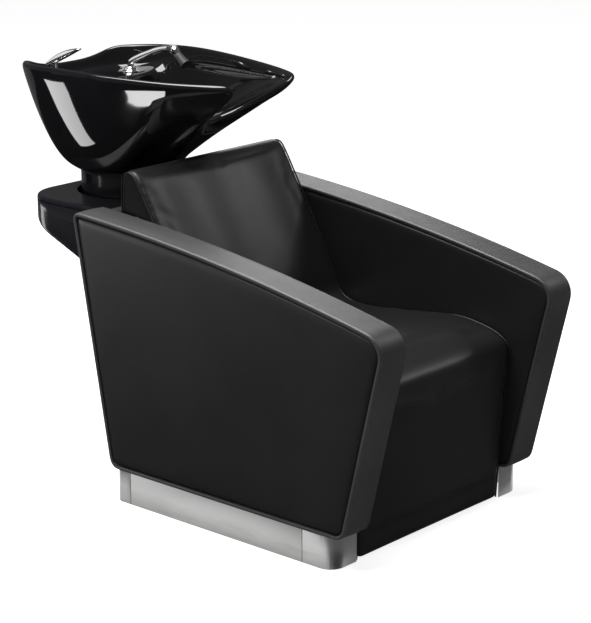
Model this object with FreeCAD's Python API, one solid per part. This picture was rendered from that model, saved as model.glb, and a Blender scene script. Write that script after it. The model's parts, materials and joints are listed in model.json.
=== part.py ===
import FreeCAD, Part
import math
import os
from FreeCAD import Vector as V

# Shampoo backwash unit: an upholstered chair with a tilting ceramic basin on a column behind it.
# Millimetres.  The chair faces -Y, +X is the right-hand side seen from the front, +Z is up.
# The origin is on the floor, under the middle of the whole unit.  "_left" is the -X side.

# ---- driving dimensions -------------------------------------------------------------------
WIDTH = 660.0             # over the two arms
ARM_THICK = 84.0
ARM_EDGE = 14.0           # depth of the border strip round each arm
ARM_CORE = 20.0
PLINTH_HEIGHT = 75.0
PLINTH_SHEET = 1.5
SEAT_HALF = 245.0         # half width of the one-piece seat, back and front upholstery
SHELF_HALF = 205.0
SHELF_REAR = 563.0
SHELF_TOP = 622.0
SHELF_CORNER = 90.0
SHELL = 4.0               # wall of the shelf shell and of the column sleeve
COLUMN_R = 112.0
COLUMN_Y = 413.0          # the column stands at x = 0
BASIN_BASE = 677.0        # underside of the ceramic basin
DECK_Z = 869.5            # tap deck inside the basin
DRAIN_Y = 400.0
DRAIN_Z = 702.5
TILT_Y = 413.0            # hinge line of the basin's tilt, along X
TILT_Z = 585.0
TAP_X = 120.0
MIXER_Y = 528.0
SHOWER_Y = 524.0
PIPE_R = 20.0             # waste pipe
FLOOR_LUG_X = 220.0
FLOOR_LUG_Y = (-360.0, 40.0)
FLOOR_HOLE_R = 5.5

HALF = WIDTH / 2
ARM_IN = HALF - ARM_THICK
CORE_IN = HALF - 32 - ARM_CORE
CORE_OUT = HALF - 32
X_AXIS = V(1, 0, 0)
Z_AXIS = V(0, 0, 1)

os.makedirs("parts", exist_ok=True)


def save(name, shape):
    """Write one named piece."""
    shape.exportStep("parts/" + name + ".step")


def save_pair(name, shape):
    """Write a piece drawn on the +X side and its mirror image on the -X side."""
    save(name + "_right", shape)
    save(name + "_left", shape.mirror(V(0, 0, 0), X_AXIS))


def both_sides(shape):
    """The piece and its mirror image as one group."""
    return Part.makeCompound([shape, shape.mirror(V(0, 0, 0), X_AXIS)])


def box(x0, x1, y0, y1, z0, z1):
    return Part.makeBox(x1 - x0, y1 - y0, z1 - z0, V(x0, y0, z0))


def rod(x, y, z, radius, length, axis=Z_AXIS):
    return Part.makeCylinder(radius, length, V(x, y, z), axis)


def tube(x, y, z, outer, inner, length, axis=Z_AXIS):
    return rod(x, y, z, outer, length, axis).cut(rod(x, y, z, inner, length, axis))


def hexagon(x, y, z, across, height, axis=Z_AXIS):
    """Hexagonal prism, such as a nut or a bolt head, standing on (x, y, z) along the axis."""
    side = X_AXIS if abs(axis.z) > 0.5 else Z_AXIS
    other = axis.cross(side)
    ring = []
    for k in range(7):
        turn = math.radians(60 * k)
        ring.append(V(x, y, z) + (side * math.cos(turn) + other * math.sin(turn)) * (across / math.sqrt(3)))
    return Part.Face(Part.makePolygon(ring)).extrude(axis * height)


def plate_x(points, x0, x1):
    """Flat plate whose outline is given as (y, z) points, between two x positions."""
    ring = [V(x0, y, z) for y, z in points]
    return Part.Face(Part.makePolygon(ring + ring[:1])).extrude(V(x1 - x0, 0, 0))


def plate_z(points, z0, z1):
    """Flat plate whose outline is given as (x, y) points, between two heights."""
    ring = [V(x, y, z0) for x, y in points]
    return Part.Face(Part.makePolygon(ring + ring[:1])).extrude(V(0, 0, z1 - z0))


def round_edges(solid, corners, radius, along=X_AXIS):
    """Round the edges that run along one axis through the given corner points."""
    chosen = []
    for edge in solid.Edges:
        ends = [v.Point for v in edge.Vertexes]
        if len(ends) == 2 and (ends[1] - ends[0]).cross(along).Length < 1e-6:
            gaps = [(c - ends[0]).cross(along).Length for c in corners]
            if min(gaps) < 0.5:
                chosen.append(edge)
    return solid.makeFillet(radius, chosen)


def path_tube(points, radius, bend):
    """Round bar along straight runs joined by tangent arcs of one bend radius."""
    edges = []
    start = V(*points[0])
    for k in range(1, len(points) - 1):
        before, corner, after = V(*points[k - 1]), V(*points[k]), V(*points[k + 1])
        into = (corner - before).normalize()
        out = (after - corner).normalize()
        turn = math.acos(max(-1.0, min(1.0, into.dot(out))))
        cut = bend * math.tan(turn / 2)
        first = corner - into * cut
        last = corner + out * cut
        middle = corner + (out - into).normalize() * (bend / math.cos(turn / 2) - bend)
        edges.append(Part.LineSegment(start, first).toShape())
        edges.append(Part.Arc(first, middle, last).toShape())
        start = last
    edges.append(Part.LineSegment(start, V(*points[-1])).toShape())
    way = Part.Wire(edges)
    section = Part.Wire(Part.makeCircle(radius, V(*points[0]), V(*points[1]) - V(*points[0])))
    return way.makePipeShell([section], True, False)


# ---- arms -------------------------------------------------------------------------------
ARM_FRONT_TOP = V(0, -630, 519)
ARM_FRONT_FOOT = V(0, -525, PLINTH_HEIGHT)
ARM_REAR_FOOT = V(0, 153, PLINTH_HEIGHT)
ARM_REAR_TOP = V(0, 257, 646)
ARM_CREST = V(0, -142, 608)


def arm_block(x0, x1):
    """The whole side profile of an arm with its rounded corners."""
    edges = [
        Part.Arc(ARM_REAR_TOP, ARM_CREST, ARM_FRONT_TOP).toShape(),
        Part.LineSegment(ARM_FRONT_TOP, ARM_FRONT_FOOT).toShape(),
        Part.LineSegment(ARM_FRONT_FOOT, ARM_REAR_FOOT).toShape(),
        Part.LineSegment(ARM_REAR_FOOT, ARM_REAR_TOP).toShape(),
    ]
    solid = Part.Face(Part.Wire(edges)).extrude(V(x1 - x0, 0, 0))
    solid.translate(V(x0, 0, 0))
    solid = round_edges(solid, [ARM_FRONT_TOP], 48)
    solid = round_edges(solid, [ARM_FRONT_FOOT], 30)
    solid = round_edges(solid, [ARM_REAR_FOOT], 25)
    return round_edges(solid, [ARM_REAR_TOP], 12)


def arm_inside(x0, x1):
    """The arm's profile set in by the depth of the border strip."""
    block = arm_block(x0, x1)
    for face in block.Faces:
        if abs(face.CenterOfMass.x - x0) < 1e-6:
            outline = face.OuterWire.makeOffset2D(-ARM_EDGE)
    return Part.Face(outline).extrude(V(x1 - x0, 0, 0))


ARM_BOLT_Z = 34.0
ARM_BOLTS_Y = (-380.0, -170.0, 40.0)


def arm_holes(radius):
    return [rod(240, y, ARM_BOLT_Z, radius, 70, X_AXIS) for y in ARM_BOLTS_Y]


def build_arms():
    band = arm_block(ARM_IN, HALF).cut(arm_inside(ARM_IN, HALF))
    tab = box(274, CORE_OUT, -440, 100, 14, PLINTH_HEIGHT)
    neck = box(CORE_IN, CORE_OUT, -440, 100, 14, PLINTH_HEIGHT + ARM_EDGE + 1)
    core = arm_inside(CORE_IN, CORE_OUT).fuse([neck, tab]).cut(arm_holes(5.2)).removeSplitter()
    band = band.cut(neck)
    save_pair("arm_edge_band", band)
    save_pair("arm_core", core)
    save_pair("arm_inner_pad", arm_inside(ARM_IN, CORE_IN))
    save_pair("arm_outer_pad", arm_inside(CORE_OUT, HALF))
    bolts = []
    for y in ARM_BOLTS_Y:
        shank = rod(240, y, ARM_BOLT_Z, 5, 62, X_AXIS)
        bolts.append(shank.fuse(hexagon(CORE_OUT, y, ARM_BOLT_Z, 17, 6.5, X_AXIS)).removeSplitter())
    save("arm_bolts", both_sides(Part.makeCompound(bolts)))


# ---- stainless plinth -----------------------------------------------------------------
PLINTH_X = 327.0
PLINTH_FRONT = -497.0
PLINTH_REAR = 137.0
SEAM_FRONT = -414.0
SEAM_REAR = 93.0
PLINTH_FOOT = 1.5


def plinth_ring(inset):
    """The plinth's rounded outline, set in by a distance, as a solid."""
    x, front, rear = PLINTH_X - inset, PLINTH_FRONT + inset, PLINTH_REAR - inset
    block = box(-x, x, front, rear, PLINTH_FOOT, PLINTH_HEIGHT)
    block = round_edges(block, [V(x, front, 0), V(-x, front, 0)], 35 - inset, Z_AXIS)
    return round_edges(block, [V(x, rear, 0), V(-x, rear, 0)], 15 - inset, Z_AXIS)


def build_plinth():
    wall = plinth_ring(0).cut(plinth_ring(PLINTH_SHEET))
    flange = plinth_ring(0).cut(plinth_ring(12))
    flange = flange.common(box(-400, 400, -600, 300, PLINTH_HEIGHT - PLINTH_SHEET, PLINTH_HEIGHT))
    skin = wall.fuse(flange).removeSplitter()
    gap = 0.4
    save_pair("plinth_corner", skin.common(box(249, 400, -600, SEAM_FRONT - gap, 0, 100)))
    save_pair("plinth_side", skin.common(box(249, 400, SEAM_FRONT + gap, SEAM_REAR - gap, 0, 100)))
    save("plinth_rear_wrap", skin.common(box(-400, 400, SEAM_REAR + gap, 300, 0, 100)))


# ---- welded frame -------------------------------------------------------------------------
RING_X = 274.0
RING_Y = (-438.0, 110.0)
RING_Z = (6.0, 46.0)
SEAT_BAR = 28.0
BACK_BAR = 33.0
BACK_BAR_GAP = 3.0
TUBE_WALL = 2.5
SEAT_RAIL_TOP = 327.0
PANEL_SLOPE = (231.0 - 128.0) / (640.0 - 75.0)


def panel_y(z):
    """Rear face of the panel that closes the chair's back, which leans with the arms."""
    return 128.0 + PANEL_SLOPE * (z - 75.0)


def angle_bar(x0, x1, y0, y1, z0, z1, thick=4.0):
    """Angle iron laid along the longer plan side, with its flange at the bottom."""
    bottom = box(x0, x1, y0, y1, z0, z0 + thick)
    if x1 - x0 > y1 - y0:
        web = box(x0, x1, y0, y0 + thick, z0, z1)
    else:
        web = box(x1 - thick, x1, y0, y1, z0, z1)
    return bottom.fuse(web)


def leaning_bar(z0, z1, x0, x1):
    """Bar just inside the panel that closes the chair's back, leaning with it."""
    near, far = -BACK_BAR_GAP - BACK_BAR, -BACK_BAR_GAP
    return plate_x([(panel_y(z0) + near, z0), (panel_y(z0) + far, z0),
                    (panel_y(z1) + far, z1), (panel_y(z1) + near, z1)], x0, x1)


def slimmer(bar, along):
    """The inside of a rectangular tube: the bar less its wall, and longer than it along its length."""
    size = bar.BoundBox
    middle = size.Center
    scale = [1 - 2 * TUBE_WALL / length for length in (size.XLength, size.YLength, size.ZLength)]
    if along.z:
        scale[1] = 1 - 2 * TUBE_WALL / BACK_BAR if along.y else scale[1]
    matrix = FreeCAD.Matrix()
    matrix.scale(*[1.02 if axis else k for axis, k in zip((along.x, 0 if along.z else along.y, along.z), scale)])
    inside = bar.translated(-middle).transformGeometry(matrix)
    return inside.translated(middle)


def hollow_frame(half, ends, across):
    """Welded frame of square tube: bars on the +X side, their mirror images, and cross bars."""
    bars = half + [bar.mirror(V(0, 0, 0), X_AXIS) for bar in half] + across
    ways = list(ends) + list(ends) + [X_AXIS] * len(across)
    solid = bars[0].fuse(bars[1:])
    return solid.cut([slimmer(bar, way) for bar, way in zip(bars, ways)]).removeSplitter()


def build_frame():
    y0, y1 = RING_Y
    z0, z1 = RING_Z
    side = angle_bar(RING_X - 40, RING_X, y0, y1, z0, z1)
    front = angle_bar(-RING_X, RING_X, y0, y0 + 40, z0, z1)
    rear = angle_bar(-RING_X, RING_X, y1 - 40, y1, z0, z1)
    lug = box(FLOOR_LUG_X - 22, FLOOR_LUG_X + 22, FLOOR_LUG_Y[0] - 22, FLOOR_LUG_Y[0] + 22, 0, 6)
    lugs = [lug, lug.translated(V(0, FLOOR_LUG_Y[1] - FLOOR_LUG_Y[0], 0))]
    lugs += [piece.mirror(V(0, 0, 0), X_AXIS) for piece in lugs]
    tie = box(-RING_X, RING_X, -190, -150, z0, z0 + 4)
    ring = side.fuse([side.mirror(V(0, 0, 0), X_AXIS), front, rear, tie] + lugs)
    holes = [rod(sx * FLOOR_LUG_X, y, -1, FLOOR_HOLE_R, 20) for sx in (-1, 1) for y in FLOOR_LUG_Y]
    holes += [rod(sx * 254, y, 0, 5.1, 20) for sx in (-1, 1) for y in (-418, 90)]
    holes += arm_holes(5.2) + [h.mirror(V(0, 0, 0), X_AXIS) for h in arm_holes(5.2)]
    save("base_ring", ring.cut(holes).removeSplitter())

    rail_low = SEAT_RAIL_TOP - SEAT_BAR
    inner, outer = 206, 206 + SEAT_BAR
    half = [box(inner, outer, -430, -430 + SEAT_BAR, z0 + 4, rail_low), box(inner, outer, 76, 104, z0 + 4, rail_low),
            box(inner, outer, -430, 104, rail_low, SEAT_RAIL_TOP)]
    ends = [V(0, 0, 1), V(0, 0, 1), V(0, 1, 0)]
    across = [box(-inner, inner, y, y + SEAT_BAR, rail_low, SEAT_RAIL_TOP) for y in (-430, -30)]
    save("seat_frame", hollow_frame(half, ends, across))

    low, high = RING_Z[0] + 4, 630.0
    half = [leaning_bar(low, high, 150, 180)]
    strut_top = plate_x([(104.5, 540), (114.1, 560), (185, 560), (181, 540)], 150, 180)
    strut_low = plate_x([(42.4, 410), (52, 430), (160, 430), (157, 410)], 150, 180)
    across = [leaning_bar(z, z + 36, -150, 150) for z in (384, YOKE_BASE)]
    frame = hollow_frame(half, [V(0, PANEL_SLOPE, 1)], across)
    struts = [strut_top.cut(half[0]), strut_low.cut(half[0])]
    struts += [piece.mirror(V(0, 0, 0), X_AXIS) for piece in struts]
    save("back_frame", frame.fuse(struts).removeSplitter())

    feet = []
    for sx in (-1, 1):
        for y in (-418, 90):
            foot = rod(sx * 254, y, 0, 16, 5.9).fuse(rod(sx * 254, y, 5, 5, 35))
            feet.append(foot.removeSplitter())
    nuts = [hexagon(sx * 254, y, z0 + 4, 17, 8).cut(rod(sx * 254, y, 0, 5, 60))
            for sx in (-1, 1) for y in (-418, 90)]
    save("levelling_feet", Part.makeCompound(feet + nuts))


# ---- seat, back and front -----------------------------------------------------------------
BOARD = 15.0


def build_seat():
    front = [V(0, -503, 2), V(0, -527, 335)]
    nose = Part.BSplineCurve()
    nose.interpolate([V(0, -527, 335), V(0, -530, 360), V(0, -504, 388), V(0, -462, 406), V(0, -390, 416),
                      V(0, -323, 410), V(0, -237, 401), V(0, -150, 392), V(0, -95, 391), V(0, -59, 397),
                      V(0, -40, 410), V(0, -22, 447), V(0, 3, 497), V(0, 40, 565), V(0, 97, 664),
                      V(0, 140, 733)])
    crown = Part.Arc(V(0, 140, 733), V(0, 172, 742), V(0, 196, 712))
    rest = [V(0, 196, 712), V(0, 196, 640), V(0, 135, 640), V(0, 20, 400), V(0, -20, 345),
            V(0, -455, 345), V(0, -455, 2), V(0, -503, 2)]
    edges = [Part.LineSegment(front[0], front[1]).toShape(), nose.toShape(), crown.toShape()]
    edges += [Part.LineSegment(rest[k], rest[k + 1]).toShape() for k in range(len(rest) - 1)]
    cover = Part.Face(Part.Wire(edges)).extrude(V(2 * SEAT_HALF, 0, 0))
    save("seat_upholstery", cover.translated(V(-SEAT_HALF, 0, 0)))

    wide = SEAT_HALF - 3
    save("seat_board", box(-wide, wide, -455, -20, SEAT_RAIL_TOP, 345))
    save("front_board", box(-wide, wide, -455, -440, 50, SEAT_RAIL_TOP - 4))
    rear_step = (0.902 * BOARD, -0.432 * BOARD)
    save("back_board", plate_x([(135, 640), (135 + rear_step[0], 640 + rear_step[1]),
                                (20 + rear_step[0], 400 + rear_step[1]), (20, 400)], -wide, wide))


# ---- rear of the chair ----------------------------------------------------------------------
PANEL = 3.0
PANEL_SPLIT = 425.0


def leaning_panel(z0, z1, half_width):
    return plate_x([(panel_y(z0) - PANEL, z0), (panel_y(z0), z0), (panel_y(z1), z1), (panel_y(z1) - PANEL, z1)],
                   -half_width, half_width)


def build_rear():
    upper = leaning_panel(PANEL_SPLIT + 1, 636, SEAT_HALF - 1)
    upper = upper.cut(box(-48, 48, 150, 260, 440, 556))
    save("rear_upper_panel", upper)
    lower = leaning_panel(80, PANEL_SPLIT - 1, SEAT_HALF - 1)
    screws = []
    for sx in (-1, 1):
        for z in (105, 250, 400):
            lower = lower.cut(rod(sx * 165, panel_y(z) - 10, z, 2.6, 20, V(0, 1, 0)))
            head = rod(sx * 165, panel_y(z) + 1, z, 5, 2.4, V(0, 1, 0))
            screws.append(head.fuse(rod(sx * 165, panel_y(z) - 2.4, z, 2.5, 4, V(0, 1, 0))).removeSplitter())
    save("service_panel", lower)
    save("rear_deck", box(-SEAT_HALF + 1, SEAT_HALF - 1, 196.5, panel_y(640), 636.5, 640.5))
    return screws


# ---- shelf behind the chair ----------------------------------------------------------------
def shelf_underside(y):
    return 494.0 + 0.41 * (y - 380.0)


OPENING_R = 122.0
COVER = 4.0


def shelf_block(inset):
    """Outside of the shelf, set in by a distance: rounded rear corners and a rising underside."""
    x, rear = SHELF_HALF - inset, SHELF_REAR - inset
    block = box(-x, x, 150, rear, 400, SHELF_TOP)
    block = round_edges(block, [V(x, rear, 0), V(-x, rear, 0)], SHELF_CORNER - inset, Z_AXIS)
    lean = [(panel_y(380) + 0.6, 380), (700, 380), (700, 660), (panel_y(660) + 0.6, 660)]
    block = block.common(plate_x(lean, -300, 300))
    under = plate_x([(100, shelf_underside(100) + inset), (700, shelf_underside(700) + inset),
                     (700, 800), (100, 800)], -300, 300)
    return block.common(under)


SCREW_TIP = SHELF_TOP - 1.0


def build_shelf(panel_screws):
    outer = shelf_block(0)
    inner = shelf_block(SHELL)
    top = box(-300, 300, 100, 700, SHELF_TOP - COVER, SHELF_TOP)
    lip = shelf_block(SHELL).cut(shelf_block(SHELL + 12))
    lip = lip.common(box(-300, 300, 100, 700, SHELF_TOP - COVER - 4, SHELF_TOP - COVER))
    shell = outer.cut([inner, top]).fuse(lip)
    front_cut = plate_x([(0, 380), (panel_y(380) + 0.6 + SHELL, 380), (panel_y(660) + 0.6 + SHELL, 660), (0, 660)],
                        -SHELF_HALF + SHELL, SHELF_HALF - SHELL)
    shell = shell.cut(front_cut.common(box(-300, 300, 0, 700, 448, 640))).removeSplitter()
    spots = [(sx * 165, y) for sx in (-1, 1) for y in (262, 470)]
    screw_holes = [rod(x, y, 600, 2.1, SCREW_TIP - 600) for x, y in spots]
    bosses = []
    for x, y in spots:
        reach = math.copysign(40, x)
        web = box(min(x, x + reach), max(x, x + reach), y - 5, y + 5, 606, SHELF_TOP - COVER)
        boss = rod(x, y, 606, 6, SHELF_TOP - COVER - 606).fuse(web)
        bosses.append(boss.common(outer.cut(top)))
    save("shelf_shell", shell.fuse(bosses).cut(screw_holes).removeSplitter())
    cover = shelf_block(0).common(top).cut([rod(0, COLUMN_Y, 600, OPENING_R, 40)] + screw_holes)
    collar = tube(0, COLUMN_Y, SHELF_TOP - 14, OPENING_R + 3, OPENING_R, 14 - COVER)
    save("shelf_top_cover", cover.fuse(collar).removeSplitter())
    screws = [rod(x, y, 606, 2, SCREW_TIP - 606).fuse(rod(x, y, 602.8, 4.5, 3.2)).removeSplitter()
              for x, y in spots]
    save("cover_screws", Part.makeCompound(panel_screws + screws))


# ---- tilting mount of the basin ------------------------------------------------------------
YOKE_BASE = 551.0
YOKE_EAR = (58.0, 66.0)
CRADLE_EAR = (48.0, 56.0)
PIVOT_R = 8.0
BUSH_R = 11.0
CRADLE_TOP = BASIN_BASE - 4.0


def ear(x0, x1, half_width, z0, z1, top_round):
    """Upright lug across the hinge line, rounded at one end."""
    block = box(x0, x1, TILT_Y - half_width, TILT_Y + half_width, z0, z1)
    end = z1 if top_round > 0 else z0
    corners = [V(0, TILT_Y - half_width, end), V(0, TILT_Y + half_width, end)]
    return round_edges(block, corners, abs(top_round))


def build_tilt():
    lean = [(panel_y(420) - 36, 420), (panel_y(545) - 36, 545), (465, 545),
            (465, shelf_underside(465) + 12), (236, shelf_underside(236) + 12),
            (panel_y(447) - 6, 447), (panel_y(420) - 6, 420)]
    side = plate_x(lean, 36, 42)
    top = box(-46, 46, panel_y(545) - 36, 465, 545, YOKE_BASE).cut(rod(0, DRAIN_Y, 500, 36, 80))
    arm = side.fuse([side.mirror(V(0, 0, 0), X_AXIS), top])
    save("support_arm", arm.removeSplitter())

    base = box(-YOKE_EAR[1], YOKE_EAR[1], TILT_Y - 43, TILT_Y + 43, YOKE_BASE, YOKE_BASE + 6)
    base = base.cut(rod(0, DRAIN_Y, 540, 34, 40))
    lug = ear(YOKE_EAR[0], YOKE_EAR[1], 26, YOKE_BASE, TILT_Z + 22, 20)
    lug = lug.cut(rod(40, TILT_Y, TILT_Z, BUSH_R, 40, X_AXIS))
    bolts = []
    for sx in (-1, 1):
        for y in (TILT_Y - 38, TILT_Y + 38):
            base = base.cut(rod(sx * 42, y, 530, 4.1, 40))
            head = hexagon(sx * 42, y, YOKE_BASE + 6, 13, 5)
            bolts.append(head.fuse(rod(sx * 42, y, YOKE_BASE + 0.2, 4, 6)).removeSplitter())
    save("tilt_yoke", base.fuse([lug, lug.mirror(V(0, 0, 0), X_AXIS)]).removeSplitter())
    save("yoke_bolts", Part.makeCompound(bolts))
    bush = tube(YOKE_EAR[0] - 1.4, TILT_Y, TILT_Z, BUSH_R, PIVOT_R + 0.05, 10.4, X_AXIS)
    save("tilt_bushes", both_sides(bush))

    lug = ear(CRADLE_EAR[0], CRADLE_EAR[1], 24, TILT_Z - 20, CRADLE_TOP - 8, -18)
    lug = lug.cut(rod(40, TILT_Y, TILT_Z, PIVOT_R, 40, X_AXIS))
    plate = rod(0, COLUMN_Y, CRADLE_TOP - 8, COLUMN_R - SHELL, 8)
    plate = plate.cut([rod(0, DRAIN_Y, 600, 40, 100)] + hose_ways(17))
    cradle = plate.fuse([lug, lug.mirror(V(0, 0, 0), X_AXIS)]).cut(basin_bolt_holes(4.1))
    save("tilt_cradle", cradle.removeSplitter())
    pin = rod(45, TILT_Y, TILT_Z, PIVOT_R, 24, X_AXIS)
    head = rod(YOKE_EAR[1] + 1.6, TILT_Y, TILT_Z, 13, 5, X_AXIS)
    save("pivot_pins", both_sides(pin.fuse(head).removeSplitter()))

    sleeve = tube(0, COLUMN_Y, 598, COLUMN_R, COLUMN_R - SHELL, BASIN_BASE - 598)
    save("column_sleeve", sleeve)
    gasket = tube(0, COLUMN_Y, CRADLE_TOP, COLUMN_R - SHELL - 2, 56, 4)
    save("basin_gasket", gasket.cut(hose_ways(17) + basin_bolt_holes(4.3)))
    bolts = []
    for x, y in BASIN_BOLTS:
        shank = rod(x, y, CRADLE_TOP - 8, 4, 20)
        bolts.append(shank.fuse(hexagon(x, y, CRADLE_TOP - 14, 13, 6)).removeSplitter())
    save("basin_bolts", Part.makeCompound(bolts))


# ---- ceramic basin ---------------------------------------------------------------------------
BASIN_BOLTS = ((-84, 400), (84, 400), (-46, 345), (46, 345))
BASE_R = 125.0
FLOOR_Y = 385.0

# Stations round the rim from the middle of the neck notch, over one horn, to the middle of the rear:
# x, y, z of the crest, direction of its foot on the base circle (degrees from +X), bulge of the
# outer wall, bulge of the bowl wall, drop of the bowl wall's top below the crest, deck share
STATIONS = (
    (0, 144, 821, -90, 1.02, 1.40, 6, 0),
    (33, 138, 826, -84, 1.00, 1.35, 7, 0),
    (63, 103, 849, -79, 0.88, 1.20, 9, 0),
    (79, 55, 878, -74, 0.75, 1.00, 11, 0),
    (86, 14, 903, -70, 0.66, 0.85, 13, 0),
    (93, -11, 917, -66, 0.62, 0.75, 14, 0),
    (107, -10, 926, -61, 0.62, 0.75, 15, 0),
    (127, 24, 927, -54, 0.66, 0.85, 18, 0),
    (165, 108, 926, -44, 1.00, 1.30, 36, 0),
    (190, 208, 928, -30, 1.40, 2.00, 50, 0),
    (211, 310, 930, -14, 1.65, 2.40, 55, 0),
    (216, 408, 932, 2, 1.80, 2.60, 55, 0),
    (206, 500, 929, 20, 1.85, 2.30, 55, 0.55),
    (184, 563, 924, 36, 1.90, 2.00, 50, 1),
    (144, 604, 923, 51, 1.90, 2.00, 45, 1),
    (106, 612, 909, 63, 1.90, 2.00, 42, 1),
    (62, 614, 900, 76, 1.90, 2.00, 40, 1),
    (0, 615, 899, 90, 1.90, 2.00, 40, 1),
)
# Inner edge of the tap deck at the last six stations.
DECK_EDGE = ((176, 462), (143, 484), (114, 482), (84, 476), (50, 471), (0, 469))


def mix(a, b, t):
    return a + (b - a) * t


def rim_normals():
    """Outward plan direction of the rim at each station."""
    loop = [(s[0], s[1]) for s in STATIONS]
    before = [(-loop[1][0], loop[1][1])] + loop[:-1]
    after = loop[1:] + [(-loop[-2][0], loop[-2][1])]
    normals = []
    for a, b in zip(before, after):
        length = math.hypot(b[0] - a[0], b[1] - a[1])
        normals.append(((b[1] - a[1]) / length, (a[0] - b[0]) / length))
    return normals


def basin_section(k, normal):
    """Poles of one section of the basin, from the drain, up the bowl, over the rim, to the base."""
    x, y, z, foot, bulge, bowl, drop, deck = STATIONS[k]
    turn = math.radians(foot)
    ux, uy = math.cos(turn), math.sin(turn)
    nx, ny = normal
    set_in = 12.0 if 2 < k < 7 else 16.0

    def off(distance, height):
        return (x + nx * distance, y + ny * distance, z + height)

    poles = []
    for radius, level in ((14, 703.0), (30, 703.0), (52, 704.0)):
        poles.append((ux * radius, mix(DRAIN_Y, FLOOR_Y, min(1, radius / 52)) + uy * radius, level))
    floor = (ux * 74, FLOOR_Y + uy * 66, 709.0)
    top = off(-set_in, -drop)
    if deck:
        edge = DECK_EDGE[k - 12]
        top = (mix(top[0], edge[0], deck), mix(top[1], edge[1], deck), mix(top[2], DECK_Z - 9, deck))
    poles.append(floor)
    for share in (0.3, 0.55, 0.78, 0.93, 1.0):
        rise = share ** bowl
        poles.append((mix(floor[0], top[0], share), mix(floor[1], top[1], share), mix(floor[2], top[2], rise)))
    wall = [off(-set_in * 0.97, -drop * 0.8), off(-set_in * 0.93, -drop * 0.6), off(-set_in * 0.87, -drop * 0.42),
            off(-set_in * 0.8, -drop * 0.28)]
    shelf = wall
    if deck:
        far = off(-24, 0)
        level = DECK_Z + 0.5
        shelf = [(mix(top[0], far[0], 0.1), mix(top[1], far[1], 0.1), level),
                 (mix(top[0], far[0], 0.4), mix(top[1], far[1], 0.4), level),
                 (mix(top[0], far[0], 0.95), mix(top[1], far[1], 0.95), level),
                 off(-14, (level + 3 - z))]
    for a, b in zip(wall, shelf):
        poles.append(tuple(mix(p, q, deck) for p, q in zip(a, b)))
    poles += [off(-10, -5), off(-6, 0), off(1, 0.5), off(5, -4), off(6, -12)]
    rim = off(2.5, -26)
    for share in (0.92, 0.76, 0.56, 0.36, 0.18, 0.05):
        rise = share ** bulge
        poles.append((mix(ux * BASE_R, rim[0], share), mix(COLUMN_Y + uy * BASE_R, rim[1], share),
                      mix(BASIN_BASE + 4, rim[2], rise)))
    for radius, level in ((BASE_R - 2, BASIN_BASE), (BASE_R - 9, BASIN_BASE)):
        poles.append((ux * radius, COLUMN_Y + uy * radius, level))
    return poles


def basin_solid():
    """One closed skin through all the sections, capped at the drain and under the base."""
    sections = [basin_section(k, n) for k, n in enumerate(rim_normals())]
    mirrored = [[(-x, y, z) for x, y, z in section] for section in sections[-2:0:-1]]
    rows = [[V(*p) for p in section] for section in sections + mirrored]
    around, down = len(rows), len(rows[0])
    skin = Part.BSplineSurface()
    skin.buildFromPolesMultsKnots(rows, [1] * (around + 1), [4] + [1] * (down - 4) + [4],
                                  list(range(around + 1)), list(range(down - 2)), True, False, 3, 3)
    side = skin.toShape()
    rings = [e for e in side.Edges if e.BoundBox.ZLength < 1e-4]
    caps = [Part.Face(Part.Wire([e])) for e in rings]
    shell = Part.Shell([side] + caps)
    shell.sewShape()
    return Part.Solid(shell)


def hose_ways(radius):
    """Slanting ways for the hoses, from under each tap to the inside of the column."""
    ways = []
    for sx in (-1, 1):
        start, end = V(sx * TAP_X, 526, 800), V(sx * 56, 468, 655)
        ways.append(Part.makeCylinder(radius, (end - start).Length, start, end - start))
    return ways


def basin_bolt_holes(radius):
    return [rod(x, y, CRADLE_TOP - 20, radius, 34) for x, y in BASIN_BOLTS]


def build_basin():
    basin = basin_solid()
    cuts = [rod(0, DRAIN_Y, 660, 24, 60), rod(0, DRAIN_Y, DRAIN_Z, 32.5, 12)]
    for x, y, hole in ((-TAP_X, MIXER_Y, 16.5), (TAP_X, SHOWER_Y, 16.5)):
        cuts.append(rod(x, y, DECK_Z, 28, 16))
        cuts.append(rod(x, y, 840, hole, 60))
        cuts.append(rod(x, y, 785, 25, DECK_Z - 12 - 785))
    basin = basin.cut(cuts).cut(hose_ways(15)).cut(basin_bolt_holes(4.2))
    save("basin", max(basin.Solids, key=lambda s: s.Volume))

    flange = rod(0, DRAIN_Y, DRAIN_Z, 32, 2.6).fuse(rod(0, DRAIN_Y, 655, 23.9, DRAIN_Z - 655))
    save("drain_flange", flange.cut(rod(0, DRAIN_Y, 600, 19, 120)).removeSplitter())
    save("drain_nut", hexagon(0, DRAIN_Y, BASIN_BASE - 12, 60, 12).cut(rod(0, DRAIN_Y, 600, 23.9, 120)))
    tail = tube(0, DRAIN_Y, 572, 17, 14.5, 77)
    save("waste_tail", tail.fuse(tube(0, DRAIN_Y, 647, 24, 14.5, 8)).removeSplitter())
    cup = tube(0, DRAIN_Y, 688, 18, 16.5, 17.5).fuse(rod(0, DRAIN_Y, 688, 18, 1.5))
    rim = tube(0, DRAIN_Y, DRAIN_Z + 2.6, 23, 16.5, 2)
    stem = rod(0, DRAIN_Y, 688, 2.5, 24).fuse(rod(0, DRAIN_Y, 711, 6, 4))
    strainer = cup.fuse([rim, stem])
    for k in range(8):
        turn = math.radians(45 * k)
        strainer = strainer.cut(rod(11 * math.cos(turn), DRAIN_Y + 11 * math.sin(turn), 680, 2.2, 12))
    save("hair_strainer", strainer.removeSplitter())


# ---- mixer tap -----------------------------------------------------------------------------
PIVOT = (MIXER_Y, 918.0)


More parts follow.
